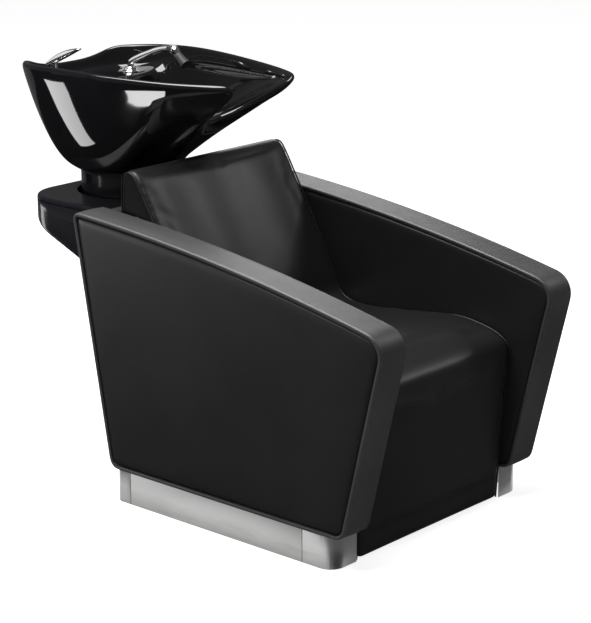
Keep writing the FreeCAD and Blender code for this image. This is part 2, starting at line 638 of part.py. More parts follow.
def build_mixer():
    x, y = -TAP_X, MIXER_Y
    body = rod(x, y, DECK_Z + 4, 22, 19).fuse(rod(x, y, 838, 14, DECK_Z + 4 - 838))
    body = body.cut(rod(x, y, 879, 15, 40))
    save("mixer_body", body.removeSplitter())
    save("mixer_ring", tube(x, y, DECK_Z, 27, 14, 4))
    nuts = [hexagon(px, py, DECK_Z - 22, 38, 10).cut(rod(px, py, 800, 14, 100))
            for px, py in ((x, y), (TAP_X, SHOWER_Y))]
    save("tap_nuts", Part.makeCompound(nuts))
    save("mixer_cartridge", rod(x, y, 879, 14.9, 13.5))
    dome = Part.makeSphere(26, V(x, y, 880)).common(rod(x, y, 893, 21, 12))
    post = box(x - 5, x + 5, y - 5, y + 5, 900, 922).cut(rod(x - 10, PIVOT[0], PIVOT[1], 2.5, 20, X_AXIS))
    save("mixer_cap", dome.fuse(post).removeSplitter())
    save("lever_pin", rod(x - 10, PIVOT[0], PIVOT[1], 2.45, 20, X_AXIS))

    upper = Part.Arc(V(0, 556, 913), V(0, 516, 941), V(0, 438, 963)).toShape()
    lower = Part.Arc(V(0, 438, 963), V(0, 490, 934), V(0, 540, 910)).toShape()
    heel = Part.LineSegment(V(0, 540, 910), V(0, 556, 913)).toShape()
    blade = Part.Face(Part.Wire([upper, lower, heel])).extrude(V(60, 0, 0)).translated(V(x - 30, 0, 0))
    plan = plate_z([(x - 13, 560), (x + 13, 560), (x + 14, 525), (x + 9, 436), (x - 9, 436), (x - 14, 525)],
                   890, 980)
    lever = blade.common(plan)
    lever = lever.cut([box(x - 5.5, x + 5.5, y - 10, y + 12, 900, 926),
                       rod(x - 10, PIVOT[0], PIVOT[1], 2.5, 20, X_AXIS)])
    save("mixer_lever", lever)


# ---- pull-out hand shower ------------------------------------------------------------------
ELBOW = (TAP_X, 384.0, 941.0)
NOZZLE_TIP = (TAP_X, 339.0, 906.0)


def build_shower():
    x, y = TAP_X, SHOWER_Y
    holder = rod(x, y, DECK_Z, 20, 12).fuse(rod(x, y, 838, 14, DECK_Z - 838))
    save("shower_holder", holder.cut(rod(x, y, 800, 10.05, 120)).removeSplitter())
    handle = path_tube([(x, y, 832), (x, y, 893), (x, 487, 911), (x, 434, 931), ELBOW, (x, 366, 927)], 8, 20)
    stem = rod(x, y, 832, 10, 50)
    head = Part.makeSphere(12, V(*ELBOW))
    button_way = rod(x - 20, ELBOW[1], ELBOW[2], 6.2, 17, X_AXIS)
    save("shower_handle", handle.fuse([stem, head]).cut(button_way).removeSplitter())
    save("spray_button", rod(x - 13.5, ELBOW[1], ELBOW[2], 6, 8, X_AXIS))
    along = (V(*NOZZLE_TIP) - V(x, 366, 927)).normalize()
    length = (V(*NOZZLE_TIP) - V(x, 366, 927)).Length
    base = V(x, 366, 927)
    save("spray_nozzle", Part.makeCone(9, 12.5, length - 3, base, along))
    face = Part.makeCylinder(11, 3, base + along * (length - 3), along)
    save("nozzle_face", face)


# ---- pipes and hoses ------------------------------------------------------------------------
INLET_X = 60.0
INLET_Y = 20.0
INLET_R = 10.48
OUTLET_Y = 30.0


def build_plumbing():
    cup = tube(0, DRAIN_Y, 556, 28, 25, 30)
    cup = cup.fuse(rod(0, DRAIN_Y, 553, 28, 3)).cut(rod(0, DRAIN_Y, 540, PIPE_R - 2.5, 40))
    save("waste_cup", cup.removeSplitter())
    way = [(0, DRAIN_Y, 553), (0, DRAIN_Y, 530), (0, 225, 478), (0, 100, 425), (0, OUTLET_Y, 300),
           (0, OUTLET_Y, 12)]
    outer = path_tube(way, PIPE_R, 24)
    save("waste_pipe", outer)

    inlet = rod(0, INLET_Y, 12, INLET_R, 28).fuse(hexagon(0, INLET_Y, 40, 24, 12))
    inlet = inlet.fuse(rod(0, INLET_Y, 52, 7.9, 14)).cut(rod(0, INLET_Y, 0, 6, 80)).removeSplitter()
    save("water_inlets", Part.makeCompound([inlet.translated(V(sx * INLET_X, 0, 0)) for sx in (-1, 1)]))
    bracket = box(-110, 110, 2, 77, 52, 55).fuse(box(-110, 110, 74, 77, 26, 55))
    bracket = bracket.cut([rod(sx * INLET_X, INLET_Y, 30, 8, 30) for sx in (-1, 1)])
    save("inlet_bracket", bracket.cut(rod(0, OUTLET_Y, 30, PIPE_R + 1, 30)))
    hoses = []
    for sx in (-1, 1):
        way = [(sx * INLET_X, INLET_Y, 66), (sx * INLET_X, INLET_Y + 4, 250), (sx * 36, 60, 430),
               (sx * 25, 120, 510), (sx * 25, 240, 526), (sx * 25, 386, 536)]
        hoses.append(path_tube(way, 5, 30))
    save("supply_hoses", Part.makeCompound(hoses))
    hoses = []
    for x, y, top in ((-TAP_X, MIXER_Y, 838), (TAP_X, SHOWER_Y, 832)):
        sx = math.copysign(1, x)
        way = [(x, y, top), (x, y, 806), (sx * 66, 477, 690), (sx * 52, 462, 640), (sx * 36, 448, 600)]
        hoses.append(path_tube(way, 6, 18))
    save("tap_hoses", Part.makeCompound(hoses))


build_arms()
build_plinth()
build_frame()
build_seat()
build_shelf(build_rear())
build_tilt()
build_basin()
build_mixer()
build_shower()
build_plumbing()
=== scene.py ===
import json
import math

import bmesh
import bpy
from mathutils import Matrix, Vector, geometry

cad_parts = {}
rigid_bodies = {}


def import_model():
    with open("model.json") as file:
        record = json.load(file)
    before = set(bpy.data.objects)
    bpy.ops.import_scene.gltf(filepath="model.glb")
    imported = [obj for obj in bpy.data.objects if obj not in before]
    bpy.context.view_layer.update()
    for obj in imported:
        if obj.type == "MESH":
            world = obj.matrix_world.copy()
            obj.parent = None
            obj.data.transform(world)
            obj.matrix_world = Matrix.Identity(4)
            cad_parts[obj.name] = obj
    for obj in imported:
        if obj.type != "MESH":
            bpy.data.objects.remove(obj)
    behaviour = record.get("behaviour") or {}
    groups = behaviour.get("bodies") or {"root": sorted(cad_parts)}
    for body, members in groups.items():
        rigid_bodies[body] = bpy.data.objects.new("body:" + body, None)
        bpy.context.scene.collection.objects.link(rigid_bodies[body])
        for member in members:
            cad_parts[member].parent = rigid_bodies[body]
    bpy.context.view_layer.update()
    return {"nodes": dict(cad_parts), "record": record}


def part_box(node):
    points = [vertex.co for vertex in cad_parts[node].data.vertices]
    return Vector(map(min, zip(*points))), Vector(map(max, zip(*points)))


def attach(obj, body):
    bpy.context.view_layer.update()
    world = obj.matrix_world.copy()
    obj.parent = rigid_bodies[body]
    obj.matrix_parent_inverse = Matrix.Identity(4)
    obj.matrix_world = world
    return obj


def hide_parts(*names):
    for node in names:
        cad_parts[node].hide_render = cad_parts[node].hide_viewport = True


# Shampoo backwash unit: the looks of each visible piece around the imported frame.
# Outlines are in millimetres, as in the part, and are scaled to metres when a mesh is made.

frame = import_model()
MM = 0.001

# ---- shared sizes, in millimetres ----


def edges_mm(node):
    """Lowest and highest corner of a node in millimetres."""
    low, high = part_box(node)
    return Vector(low) / MM, Vector(high) / MM


HALF = edges_mm("arm_outer_pad_right")[1].x
ARM_IN = edges_mm("arm_inner_pad_right")[0].x
SEAT_HALF = edges_mm("seat_upholstery")[1].x
PLINTH_HEIGHT = edges_mm("plinth_side_left")[1].z
SHELF_HALF = edges_mm("shelf_shell")[1].x
SHELF_REAR = edges_mm("shelf_shell")[1].y
SHELF_TOP = edges_mm("shelf_top_cover")[1].z
COLUMN_R = edges_mm("column_sleeve")[1].x
COLUMN_FOOT = edges_mm("column_sleeve")[0].z
BASIN_BASE = edges_mm("basin")[0].z
COLUMN_Y = 413.0  # axis of the column and of the basin's foot
DRAIN_Y = 400.0
FLOOR_Y = 385.0  # middle of the bowl's floor
BASE_R = 125.0  # radius of the basin's foot
DECK_Z = edges_mm("mixer_ring")[0].z
TAP_X = 120.0
MIXER_Y = 528.0
SHOWER_Y = 524.0


# ---- node materials ----
class Shade:
    """A Principled material with short calls for its nodes."""

    def __init__(self, name):
        self.material = bpy.data.materials.new(name)
        self.material.use_nodes = True
        self.tree = self.material.node_tree
        self.shader = self.tree.nodes["Principled BSDF"]
        self.place = self.node("ShaderNodeTexCoord").outputs["Object"]

    def node(self, kind, **values):
        made = self.tree.nodes.new(kind)
        for key, value in values.items():
            made.inputs[key.replace("_", " ")].default_value = value
        return made

    def link(self, output, target):
        self.tree.links.new(output, target)

    def set(self, **values):
        for key, value in values.items():
            self.shader.inputs[key.replace("_", " ")].default_value = value

    def stretched(self, scale):
        """The place on the surface, stretched by a factor along each axis."""
        mapping = self.node("ShaderNodeMapping", Scale=scale)
        self.link(self.place, mapping.inputs["Vector"])
        return mapping.outputs["Vector"]

    def noise(self, scale, detail=4.0, roughness=0.55, vector=None):
        made = self.node("ShaderNodeTexNoise", Scale=scale, Detail=detail, Roughness=roughness)
        self.link(vector or self.place, made.inputs["Vector"])
        return made.outputs["Fac"]

    def cells(self, scale, vector=None):
        made = self.node("ShaderNodeTexVoronoi", Scale=scale)
        self.link(vector or self.place, made.inputs["Vector"])
        return made.outputs["Distance"]

    def ranged(self, value, low, high, start=0.0, end=1.0):
        made = self.node("ShaderNodeMapRange", From_Min=start, From_Max=end, To_Min=low, To_Max=high)
        self.link(value, made.inputs["Value"])
        return made.outputs["Result"]

    def colours(self, value, dark, light, start=0.3, end=0.7):
        ramp = self.node("ShaderNodeValToRGB")
        for stop, place, colour in zip(ramp.color_ramp.elements, (start, end), (dark, light)):
            stop.position = place
            stop.color = (*colour, 1)
        self.link(value, ramp.inputs["Fac"])
        self.link(ramp.outputs["Color"], self.shader.inputs["Base Color"])

    def rough(self, value, low, high):
        self.link(self.ranged(value, low, high), self.shader.inputs["Roughness"])

    def bumps(self, *layers):
        """Bump from (height, distance in metres, strength) layers, coarse to fine."""
        previous = None
        for height, distance, strength in layers:
            bump = self.node("ShaderNodeBump", Distance=distance, Strength=strength)
            self.link(height, bump.inputs["Height"])
            if previous:
                self.link(previous, bump.inputs["Normal"])
            previous = bump.outputs["Normal"]
        self.link(previous, self.shader.inputs["Normal"])


def leather(name, dark, light, low, high):
    """Fine-grain upholstery leather: pebbled cells, soft creases and slight colour variation."""
    m = Shade(name)
    grain = m.cells(620)
    fine = m.noise(1400, 2)
    folds = m.noise(9, 3, 0.5)
    m.colours(m.noise(3.5, 5, 0.6), dark, light)
    m.rough(m.noise(26, 4, 0.6), low, high)
    mottle = m.noise(120, 4, 0.6)
    m.bumps((folds, 0.0012, 0.25), (mottle, 0.0004, 0.35), (grain, 0.00022, 0.5), (fine, 0.0001, 0.3))
    m.set(Sheen_Weight=0.015, Sheen_Roughness=0.4, Specular_IOR_Level=0.38)
    return m.material


def glaze():
    """Black vitreous glaze: mirror gloss with the faint waviness of a dipped coat."""
    m = Shade("basin_glaze")
    m.colours(m.noise(2, 3), (0.0035, 0.0035, 0.004), (0.006, 0.006, 0.007))
    m.rough(m.noise(14, 3), 0.025, 0.06)
    m.bumps((m.noise(5.5, 2, 0.4), 0.0016, 0.10), (m.noise(60, 2), 0.00006, 0.12))
    m.set(IOR=1.52, Coat_Weight=0.35, Coat_Roughness=0.02)
    return m.material


def gloss_black():
    """Deep blue-black lacquered moulding."""
    m = Shade("shelf_gloss")
    m.colours(m.noise(4, 3), (0.005, 0.005, 0.0066), (0.0075, 0.0075, 0.010))
    m.rough(m.noise(18, 4), 0.14, 0.22)
    m.bumps((m.noise(7, 2), 0.0008, 0.06))
    m.set(IOR=1.45, Coat_Weight=0.3, Coat_Roughness=0.05)
    return m.material


def textured_black(name="panel_black", tone=0.016):
    """Moulded panel with a fine spark-eroded texture."""
    m = Shade(name)
    m.colours(m.noise(6, 4), (tone, tone, tone), (tone * 1.5, tone * 1.5, tone * 1.55))
    m.rough(m.noise(40, 3), 0.42, 0.6)
    m.bumps((m.noise(900, 3), 0.0002, 0.5))
    return m.material


def satin_steel():
    """Satin stainless sheet, brushed along its length, with painted shade along its foot: a darker band that
    stands in for the floor's shadow reflected in the sheet.
    """
    m = Shade("stainless")
    lines = m.noise(6, 5, 0.7, m.stretched((4, 4, 420)))
    split = m.node("ShaderNodeSeparateXYZ")
    m.link(m.place, split.inputs[0])
    # painted shade: the colour darkens over the lowest 18 to 58 mm, with a noisy edge, as a painted
    # reflection of the floor's shadow
    foot_shade = m.node("ShaderNodeMath")
    foot_shade.operation = "MULTIPLY_ADD"
    m.link(m.noise(14, 4, 0.6, m.stretched((1, 1, 6))), foot_shade.inputs[0])
    foot_shade.inputs[1].default_value = 0.03
    m.link(split.outputs["Z"], foot_shade.inputs[2])
    foot_shade_mask = m.ranged(foot_shade.outputs[0], 0, 1, 0.018, 0.058)
    m.colours(foot_shade_mask, (0.40, 0.40, 0.395), (0.68, 0.68, 0.675), 0.0, 1.0)
    m.rough(lines, 0.24, 0.40)
    m.bumps((lines, 0.00005, 0.5), (m.noise(3, 2), 0.002, 0.03))
    m.set(Metallic=1.0, Anisotropic=0.35)
    return m.material


def chrome():
    """Bright plated metal with faint wipe marks."""
    m = Shade("chrome")
    m.colours(m.noise(30, 3), (0.72, 0.72, 0.73), (0.80, 0.80, 0.81))
    m.rough(m.noise(55, 5, 0.7), 0.03, 0.11)
    m.bumps((m.noise(25, 2), 0.0003, 0.05))
    m.set(Metallic=1.0)
    return m.material


def plain_metal(name, dark, light, low, high, metallic=1.0):
    m = Shade(name)
    m.colours(m.noise(45, 4), dark, light)
    m.rough(m.noise(80, 4), low, high)
    m.bumps((m.noise(600, 3), 0.0001, 0.3))
    m.set(Metallic=metallic)
    return m.material


def plywood():
    m = Shade("plywood")
    rings = m.noise(9, 4, 0.6, m.stretched((60, 3, 3)))
    m.colours(rings, (0.34, 0.23, 0.13), (0.62, 0.47, 0.30))
    m.rough(rings, 0.5, 0.75)
    m.bumps((rings, 0.0003, 0.4))
    return m.material


def braid():
    m = Shade("hose_braid")
    weave = m.cells(420, vector=m.stretched((1, 1, 0.5)))
    m.colours(weave, (0.25, 0.25, 0.26), (0.62, 0.62, 0.63))
    m.rough(weave, 0.3, 0.5)
    m.bumps((weave, 0.0006, 0.8))
    m.set(Metallic=0.9)
    return m.material


MATERIALS = {
    "leather_black": leather("leather_black", (0.005, 0.005, 0.0051), (0.008, 0.008, 0.0082), 0.36, 0.46),
    "leather_grey": leather("leather_grey", (0.019, 0.019, 0.0195), (0.027, 0.027, 0.0275), 0.42, 0.52),
    "plywood": plywood(),
    "frame_steel": plain_metal("frame_steel", (0.012,) * 3, (0.02,) * 3, 0.4, 0.55, 0.0),
    "stainless": satin_steel(),
    "panel_black": textured_black(),
    "shelf_gloss": gloss_black(),
    "basin_glaze": glaze(),
    "chrome": chrome(),
    "nozzle_plastic": textured_black("nozzle_plastic", 0.03),
    "zinc_steel": plain_metal("zinc_steel", (0.42, 0.42, 0.43), (0.58, 0.58, 0.59), 0.25, 0.45),
    "rubber_black": textured_black("rubber_black", 0.02),
    "brass": plain_metal("brass", (0.55, 0.38, 0.15), (0.70, 0.52, 0.24), 0.2, 0.4),
    "nylon": plain_metal("nylon", (0.42, 0.42, 0.41), (0.55, 0.55, 0.54), 0.35, 0.5, 0.0),
    "hose_braid": braid(),
}
PIPING = leather("piping_leather", (0.004, 0.004, 0.004), (0.006, 0.006, 0.006), 0.38, 0.48)

SLOT_OF = {row["node"]: row["material_slot"] for row in frame["record"]["subparts"]}
for node, shown in frame["nodes"].items():
    slots = shown.data.materials
    if not slots:
        slots.append(MATERIALS[SLOT_OF[node]])
    for index in range(len(slots)):
        slots[index] = MATERIALS[SLOT_OF[node]]


# ---- mesh making ----
def face_outward(mesh):
    """Turn every face of a closed mesh to the outside."""
    edit = bmesh.new()
    edit.from_mesh(mesh)
    bmesh.ops.recalc_face_normals(edit, faces=edit.faces)
    edit.to_mesh(mesh)
    edit.free()
    mesh.update()


def placed(name, data):
    """A new object in the scene."""
    made = bpy.data.objects.new(name, data)
    bpy.context.scene.collection.objects.link(made)
    return made


def subdivided(piece, levels):
    finer = piece.modifiers.new("finer", "SUBSURF")
    finer.levels = levels
    finer.render_levels = levels


def circle(steps):
    """Cosine and sine at even steps around a turn."""
    return [(math.cos(2 * math.pi * k / steps), math.sin(2 * math.pi * k / steps)) for k in range(steps)]


def make(name, shape, slot, body="root", replaces=(), material=None, subdivide=0):
    """A smooth-shaded object from (points in millimetres, faces), riding on a body for CAD nodes."""
    points, faces = shape
    mesh = bpy.data.meshes.new(name)
    mesh.from_pydata([Vector(p) * MM for p in points], [], faces)
    mesh.validate()
    face_outward(mesh)
    mesh.shade_smooth()
    mesh.materials.append(material or MATERIALS[slot])
    made = placed(name, mesh)
    if subdivide:
        subdivided(made, subdivide)
    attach(made, body)
    if replaces:
        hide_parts(*replaces)
    return made


def skin(loops, close_along=False, capped=False):
    """Points and quads of a skin over equal loops, closed along them or with flat caps where asked."""
    count = len(loops[0])
    points = [p for loop in loops for p in loop]
    faces = []
    rows = len(loops) if close_along else len(loops) - 1
    for r in range(rows):
        for c in range(count):
            a, b = r * count + c, r * count + (c + 1) % count
            above = ((r + 1) % len(loops)) * count
            faces.append((a, b, above + (c + 1) % count, above + c))
    if capped:
        faces.append(tuple(range(count))[::-1])
        faces.append(tuple(range((len(loops) - 1) * count, len(loops) * count)))
    return points, faces


def turned(name, profile, centre, slot, body, replaces=(), steps=64):
    """A lathe ring about an upright axis through centre (x, y), from a closed (radius, z) profile."""
    loops = [[(centre[0] + radius * c, centre[1] + radius * s, z) for c, s in circle(steps)]
             for radius, z in profile]
    make(name, skin(loops, close_along=True), slot, body, replaces)


def rotated(arm, angle):
    """A 2D vector turned about the origin."""
    return Vector((arm.x * math.cos(angle) - arm.y * math.sin(angle),
                   arm.x * math.sin(angle) + arm.y * math.cos(angle)))


def rounded_outline(corners, arc_steps=10):
    """Closed outline through (u, v, radius) corners; a corner of radius 0 is a plain point."""
    out = []
    count = len(corners)
    for k, (u, v, radius) in enumerate(corners):
        here = Vector((u, v))
        if not radius:
            out.append(here)
            continue
        before = Vector(corners[k - 1][:2])
        after = Vector(corners[(k + 1) % count][:2])
        into = (here - before).normalized()
        away = (after - here).normalized()
        turn = into.angle(away)
        cut = radius * math.tan(turn / 2)
        middle = here + (away - into).normalized() * radius / math.cos(turn / 2)
        start = (here - into * cut) - middle
        end = (here + away * cut) - middle
        swing = start.angle_signed(end)
        for step in range(arc_steps + 1):
            out.append(middle + rotated(start, -swing * step / arc_steps))
    return out


def resample(outline, count, closed=True):
    """The same outline with evenly spaced points."""
    ring = outline + outline[:1] if closed else outline
    lengths = [0.0]
    for a, b in zip(ring, ring[1:]):
        lengths.append(lengths[-1] + (b - a).length)
    out = []
    place = 0
    steps = count if closed else count - 1
    for k in range(count):
        want = lengths[-1] * k / steps
        while place < len(lengths) - 2 and lengths[place + 1] < want:
            place += 1
        span = lengths[place + 1] - lengths[place]
        share = (want - lengths[place]) / span if span else 0
        out.append(ring[place].lerp(ring[place + 1], share))
    return out


def normals_2d(outline, closed=True):
    """Unit normals of an outline, pointing to the right of its direction."""
    out = []
    count = len(outline)
    for k in range(count):
        a = outline[k - 1] if closed or k else outline[k]
        b = outline[(k + 1) % count] if closed or k < count - 1 else outline[k]
        along = (b - a).normalized()
        out.append(Vector((along.y, -along.x)))
    return out


def tube_along(points, radius, steps, closed=False):
    """Loops of a round tube along 3D points, for skin(); radius is one value or one for each point."""
    loops = []
    count = len(points)
    for k in range(count):
        before = points[k - 1] if closed or k else points[k]
        after = points[(k + 1) % count] if closed or k < count - 1 else points[k]
        along = (after - before).normalized()
        side = along.cross(Vector((1, 0, 0)))
        if side.length < 0.2:
            side = along.cross(Vector((0, 0, 1)))
        side.normalize()
        up = along.cross(side)
        size = radius[k] if isinstance(radius, (list, tuple)) else radius
        loops.append([points[k] + (side * c + up * s) * size for c, s in circle(steps)])
    return loops


# ---- arms ----
ARM_TOP = ((257.0, 646.0), (-142.0, 608.0), (-630.0, 519.0))
ARM_FRONT_FOOT = (-525.0, 75.0)
ARM_REAR_FOOT = (153.0, 75.0)


def circle_through(a, b, c):
    """Centre of the circle through three points in the plane."""
    ax, ay = a
    bx, by = b
    cx, cy = c
    d = 2 * (ax * (by - cy) + bx * (cy - ay) + cx * (ay - by))
    sa, sb, sc = ax * ax + ay * ay, bx * bx + by * by, cx * cx + cy * cy
    return Vector(((sa * (by - cy) + sb * (cy - ay) + sc * (ay - by)) / d,
                   (sa * (cx - bx) + sb * (ax - cx) + sc * (bx - ax)) / d))


def arm_outline(count=260):
    """(y, z) outline of an arm, from the rear top forwards along the top, and down the front."""
    centre = circle_through(*ARM_TOP)
    radius = (Vector(ARM_TOP[0]) - centre).length
    start = math.atan2(ARM_TOP[0][1] - centre.y, ARM_TOP[0][0] - centre.x)
    end = math.atan2(ARM_TOP[2][1] - centre.y, ARM_TOP[2][0] - centre.x)
    corners = [(*ARM_TOP[0], 12)]
    for k in range(1, 12):
        angle = start + (end - start) * (0.04 + 0.84 * (k - 1) / 10)
        corners.append((centre.x + radius * math.cos(angle), centre.y + radius * math.sin(angle), 0))
    corners += [(*ARM_TOP[2], 48), (*ARM_FRONT_FOOT, 30), (*ARM_REAR_FOOT, 25)]
    return resample(rounded_outline(corners), count)


SEAM_INSET = 7.5  # from the arm's outline to the seam around each panel
PANEL_EDGE = 5.5  # depth of a panel's edge below the arm's side
CROWN = {"outer": 1.0, "inner": 0.4}  # a panel's middle, from the arm's side and away from the seat
CORE_DEPTH = 31.5  # depth of the board behind a panel
PIPING_DEPTH = 3.6
PANEL_GRID = (84, 56)
BAND_SECTION = (
    # share of the way across the arm, distance outside the outline
    (0.055, -8.6), (0.034, -8.2), (0.018, -6.6), (0.010, -3.8), (0.012, -1.4), (0.028, 0.4), (0.058, 1.5),
    (0.092, 1.5), (0.125, 0.9), (0.20, 1.6), (0.34, 2.2), (0.50, 2.4), (0.66, 2.2), (0.80, 1.6),
    (0.875, 0.9), (0.908, 1.5), (0.942, 1.5), (0.972, 0.4), (0.988, -1.4), (0.990, -3.8), (0.982, -6.6),
    (0.966, -8.2), (0.945, -8.6), (0.90, -9.2), (0.60, -9.6), (0.40, -9.6), (0.10, -9.2),
)


def coons(outline, corner_marks, across, down):
    """Grid of points filling a closed outline, cut into four sides at the marked points."""
    marks = list(corner_marks) + [corner_marks[0] + len(outline)]
    sides = []
    for a, b, count in zip(marks, marks[1:], (across, down, across, down)):
        piece = [outline[k % len(outline)] for k in range(a, b + 1)]
        sides.append(resample(piece, count, closed=False))
    top, front, bottom, rear = sides
    bottom = bottom[::-1]
    rear = rear[::-1]
    grid = []
    for j in range(down):
        v = j / (down - 1)
        row = []
        for i in range(across):
            u = i / (across - 1)
            straight = top[i] * (1 - v) + bottom[i] * v + rear[j] * (1 - u) + front[j] * u
            corner = (top[0] * (1 - u) + top[-1] * u) * (1 - v) + (bottom[0] * (1 - u) + bottom[-1] * u) * v
            row.append(straight - corner)
        grid.append(row)
    return grid


def distance_to(outline, p):
    """Shortest distance from a point to a closed outline."""
    best = 1e9
    for k in range(len(outline)):
        a, b = outline[k - 1], outline[k]
        along = b - a
        share = min(1.0, max(0.0, (p - a).dot(along) / max(along.length_squared, 1e-9)))
        best = min(best, (p - a - along * share).length)
    return best


def arm_panel(name, side, outline, normals, edge_x, face_x, core_x, replaces):
    """Padded leather panel: crowned inside the border strip's seam and flat where it rests on the core."""
    inner = [p - n * SEAM_INSET for p, n in zip(outline, normals)]
    marks = [min(range(len(inner)), key=lambda k: (inner[k] - Vector(target)).length)
             for target in (ARM_TOP[0], ARM_TOP[2], ARM_FRONT_FOOT, ARM_REAR_FOOT)]
    if marks[0] > marks[1]:
        marks = [m + (len(inner) if m < marks[0] else 0) for m in marks]
    across, down = PANEL_GRID
    grid = coons(inner, marks, across, down)
    points = []
    for j, row in enumerate(grid):
        for i, p in enumerate(row):
            near = distance_to(inner, p) if min(i, j, across - 1 - i, down - 1 - j) < 9 else 60.0
            rise = 1 - math.exp(-near / 5.0)
            dome = (1 - (2 * i / (across - 1) - 1) ** 2) * (1 - (2 * j / (down - 1) - 1) ** 2)
            x = edge_x + (face_x - edge_x) * (0.62 * rise + 0.38 * dome ** 0.6)
            points.append((side * x, p.x, p.y))
    count = len(points)
    points += [(side * core_x, y, z) for _, y, z in points]
    faces = []
    for j in range(down - 1):
        for i in range(across - 1):
            a = j * across + i
            quad = (a, a + 1, a + across + 1, a + across)
            faces += [quad, tuple(k + count for k in quad)[::-1]]
    rim = list(range(across))
    rim += [j * across + across - 1 for j in range(1, down)]
    rim += [(down - 1) * across + i for i in range(across - 2, -1, -1)]
    rim += [j * across for j in range(down - 2, 0, -1)]
    faces += [(b, a, a + count, b + count) for a, b in zip(rim, rim[1:] + rim[:1])]
    if side * (face_x - edge_x) > 0:
        faces = [face[::-1] for face in faces]
    panel = make(name, (points, faces), "leather_black", replaces=replaces, subdivide=1)


def build_arm(side, word):
    """Border strip around the arm, a panel on each side of it and piping in both seams."""
    outline = arm_outline()
    normals = normals_2d(outline)
    centre = sum(outline, Vector((0, 0))) / len(outline)
    if (outline[0] - centre).dot(normals[0]) < 0:
        normals = [-n for n in normals]
    loops = []
    for share, out in BAND_SECTION:
        x = side * (HALF - share * (HALF - ARM_IN))
        ring = []
        for p, n in zip(outline, normals):
            reach = min(out, 0.0) if p.y < PLINTH_HEIGHT + 6 and n.y < -0.8 else out
            q = p + n * reach
            ring.append((x, q.x, q.y))
        loops.append(ring)
    if side < 0:
        loops = loops[::-1]
    band = make("arm_border_" + word, skin(loops, close_along=True), "leather_grey",
                replaces=("arm_edge_band_" + word,), subdivide=1)
    for end, surface, inward in (("outer", HALF, -1), ("inner", ARM_IN, 1)):
        arm_panel("arm_%s_panel_%s" % (end, word), side, outline, normals, surface + inward * PANEL_EDGE,
                  surface + CROWN[end], surface + inward * CORE_DEPTH, ("arm_%s_pad_%s" % (end, word),))
    for x, end in ((HALF - PIPING_DEPTH, "outer"), (ARM_IN + PIPING_DEPTH, "inner")):
        way = [Vector((side * x, *(p - n * (SEAM_INSET + 0.6)))) for p, n in zip(outline, normals)]
        piping = skin(tube_along(way, 1.5, 8, closed=True), close_along=True)
        make("arm_piping_%s_%s" % (end, word), piping, "leather_black", material=PIPING)


# ---- seat, back and front ----
SILHOUETTE = (
    # (y, z) of the visible cover, from the front's foot over the seat and the back to behind it
    (-503, 3), (-508, 80), (-515, 190), (-524, 300), (-529, 345), (-525, 368), (-506, 387), (-466, 404),
    (-390, 416), (-323, 411), (-237, 401), (-150, 392), (-95, 391), (-59, 397), (-38, 413), (-22, 447),
    (3, 497), (40, 565), (97, 664), (136, 727), (156, 742), (176, 741), (191, 727), (196, 706), (196, 675),
    (196, 641),
)


# and the rest of its outline, hidden under the cover, back to the front's foot
UNDER_COVER = ((193, 632), (151, 627), (124, 606), (20, 401), (-20, 346), (-455, 346), (-455, 3))
VOXEL = 7.0
PRESSURE = 4.0


def smooth_way(points, per_span=8):
    """Catmull-Rom curve through 2D points."""
    pts = [Vector(p) for p in points]
    ends = [pts[0] * 2 - pts[1]] + pts + [pts[-1] * 2 - pts[-2]]
    out = []
    for k in range(1, len(ends) - 2):
        a, b, c, d = ends[k - 1:k + 3]
        for s in range(per_span):
            t = s / per_span
            out.append(0.5 * ((2 * b) + (c - a) * t + (2 * a - 5 * b + 4 * c - d) * t * t
                              + (3 * b - a - 3 * c + d) * t ** 3))
    out.append(pts[-1])
    return out


def filled(outline, spacing):
    """Points and triangles filling a closed 2D outline."""
    count = len(outline)
    low = Vector((min(p.x for p in outline), min(p.y for p in outline)))
    high = Vector((max(p.x for p in outline), max(p.y for p in outline)))
    extra = []
    row = 0
    v = low.y + spacing
    while v < high.y:
        u = low.x + spacing * (1.0 if row % 2 else 0.5)
        while u < high.x:
            p = Vector((u, v))
            inside = False
            for k in range(count):
                c, d = outline[k - 1], outline[k]
                if (c.y > v) != (d.y > v) and u < c.x + (d.x - c.x) * (v - c.y) / (d.y - c.y):
                    inside = not inside
            if inside and min((p - q).length for q in outline) > spacing * 0.55:
                extra.append(p)
            u += spacing
        v += spacing * 0.87
        row += 1
    edges = [(k, (k + 1) % count) for k in range(count)]
    found = geometry.delaunay_2d_cdt(list(outline) + extra, edges, [], 1, 1e-5)
    return found[0], found[2]


def baked(piece):
    """The piece's mesh with its modifiers applied."""
    return bpy.data.meshes.new_from_object(piece.evaluated_get(bpy.context.evaluated_depsgraph_get()))


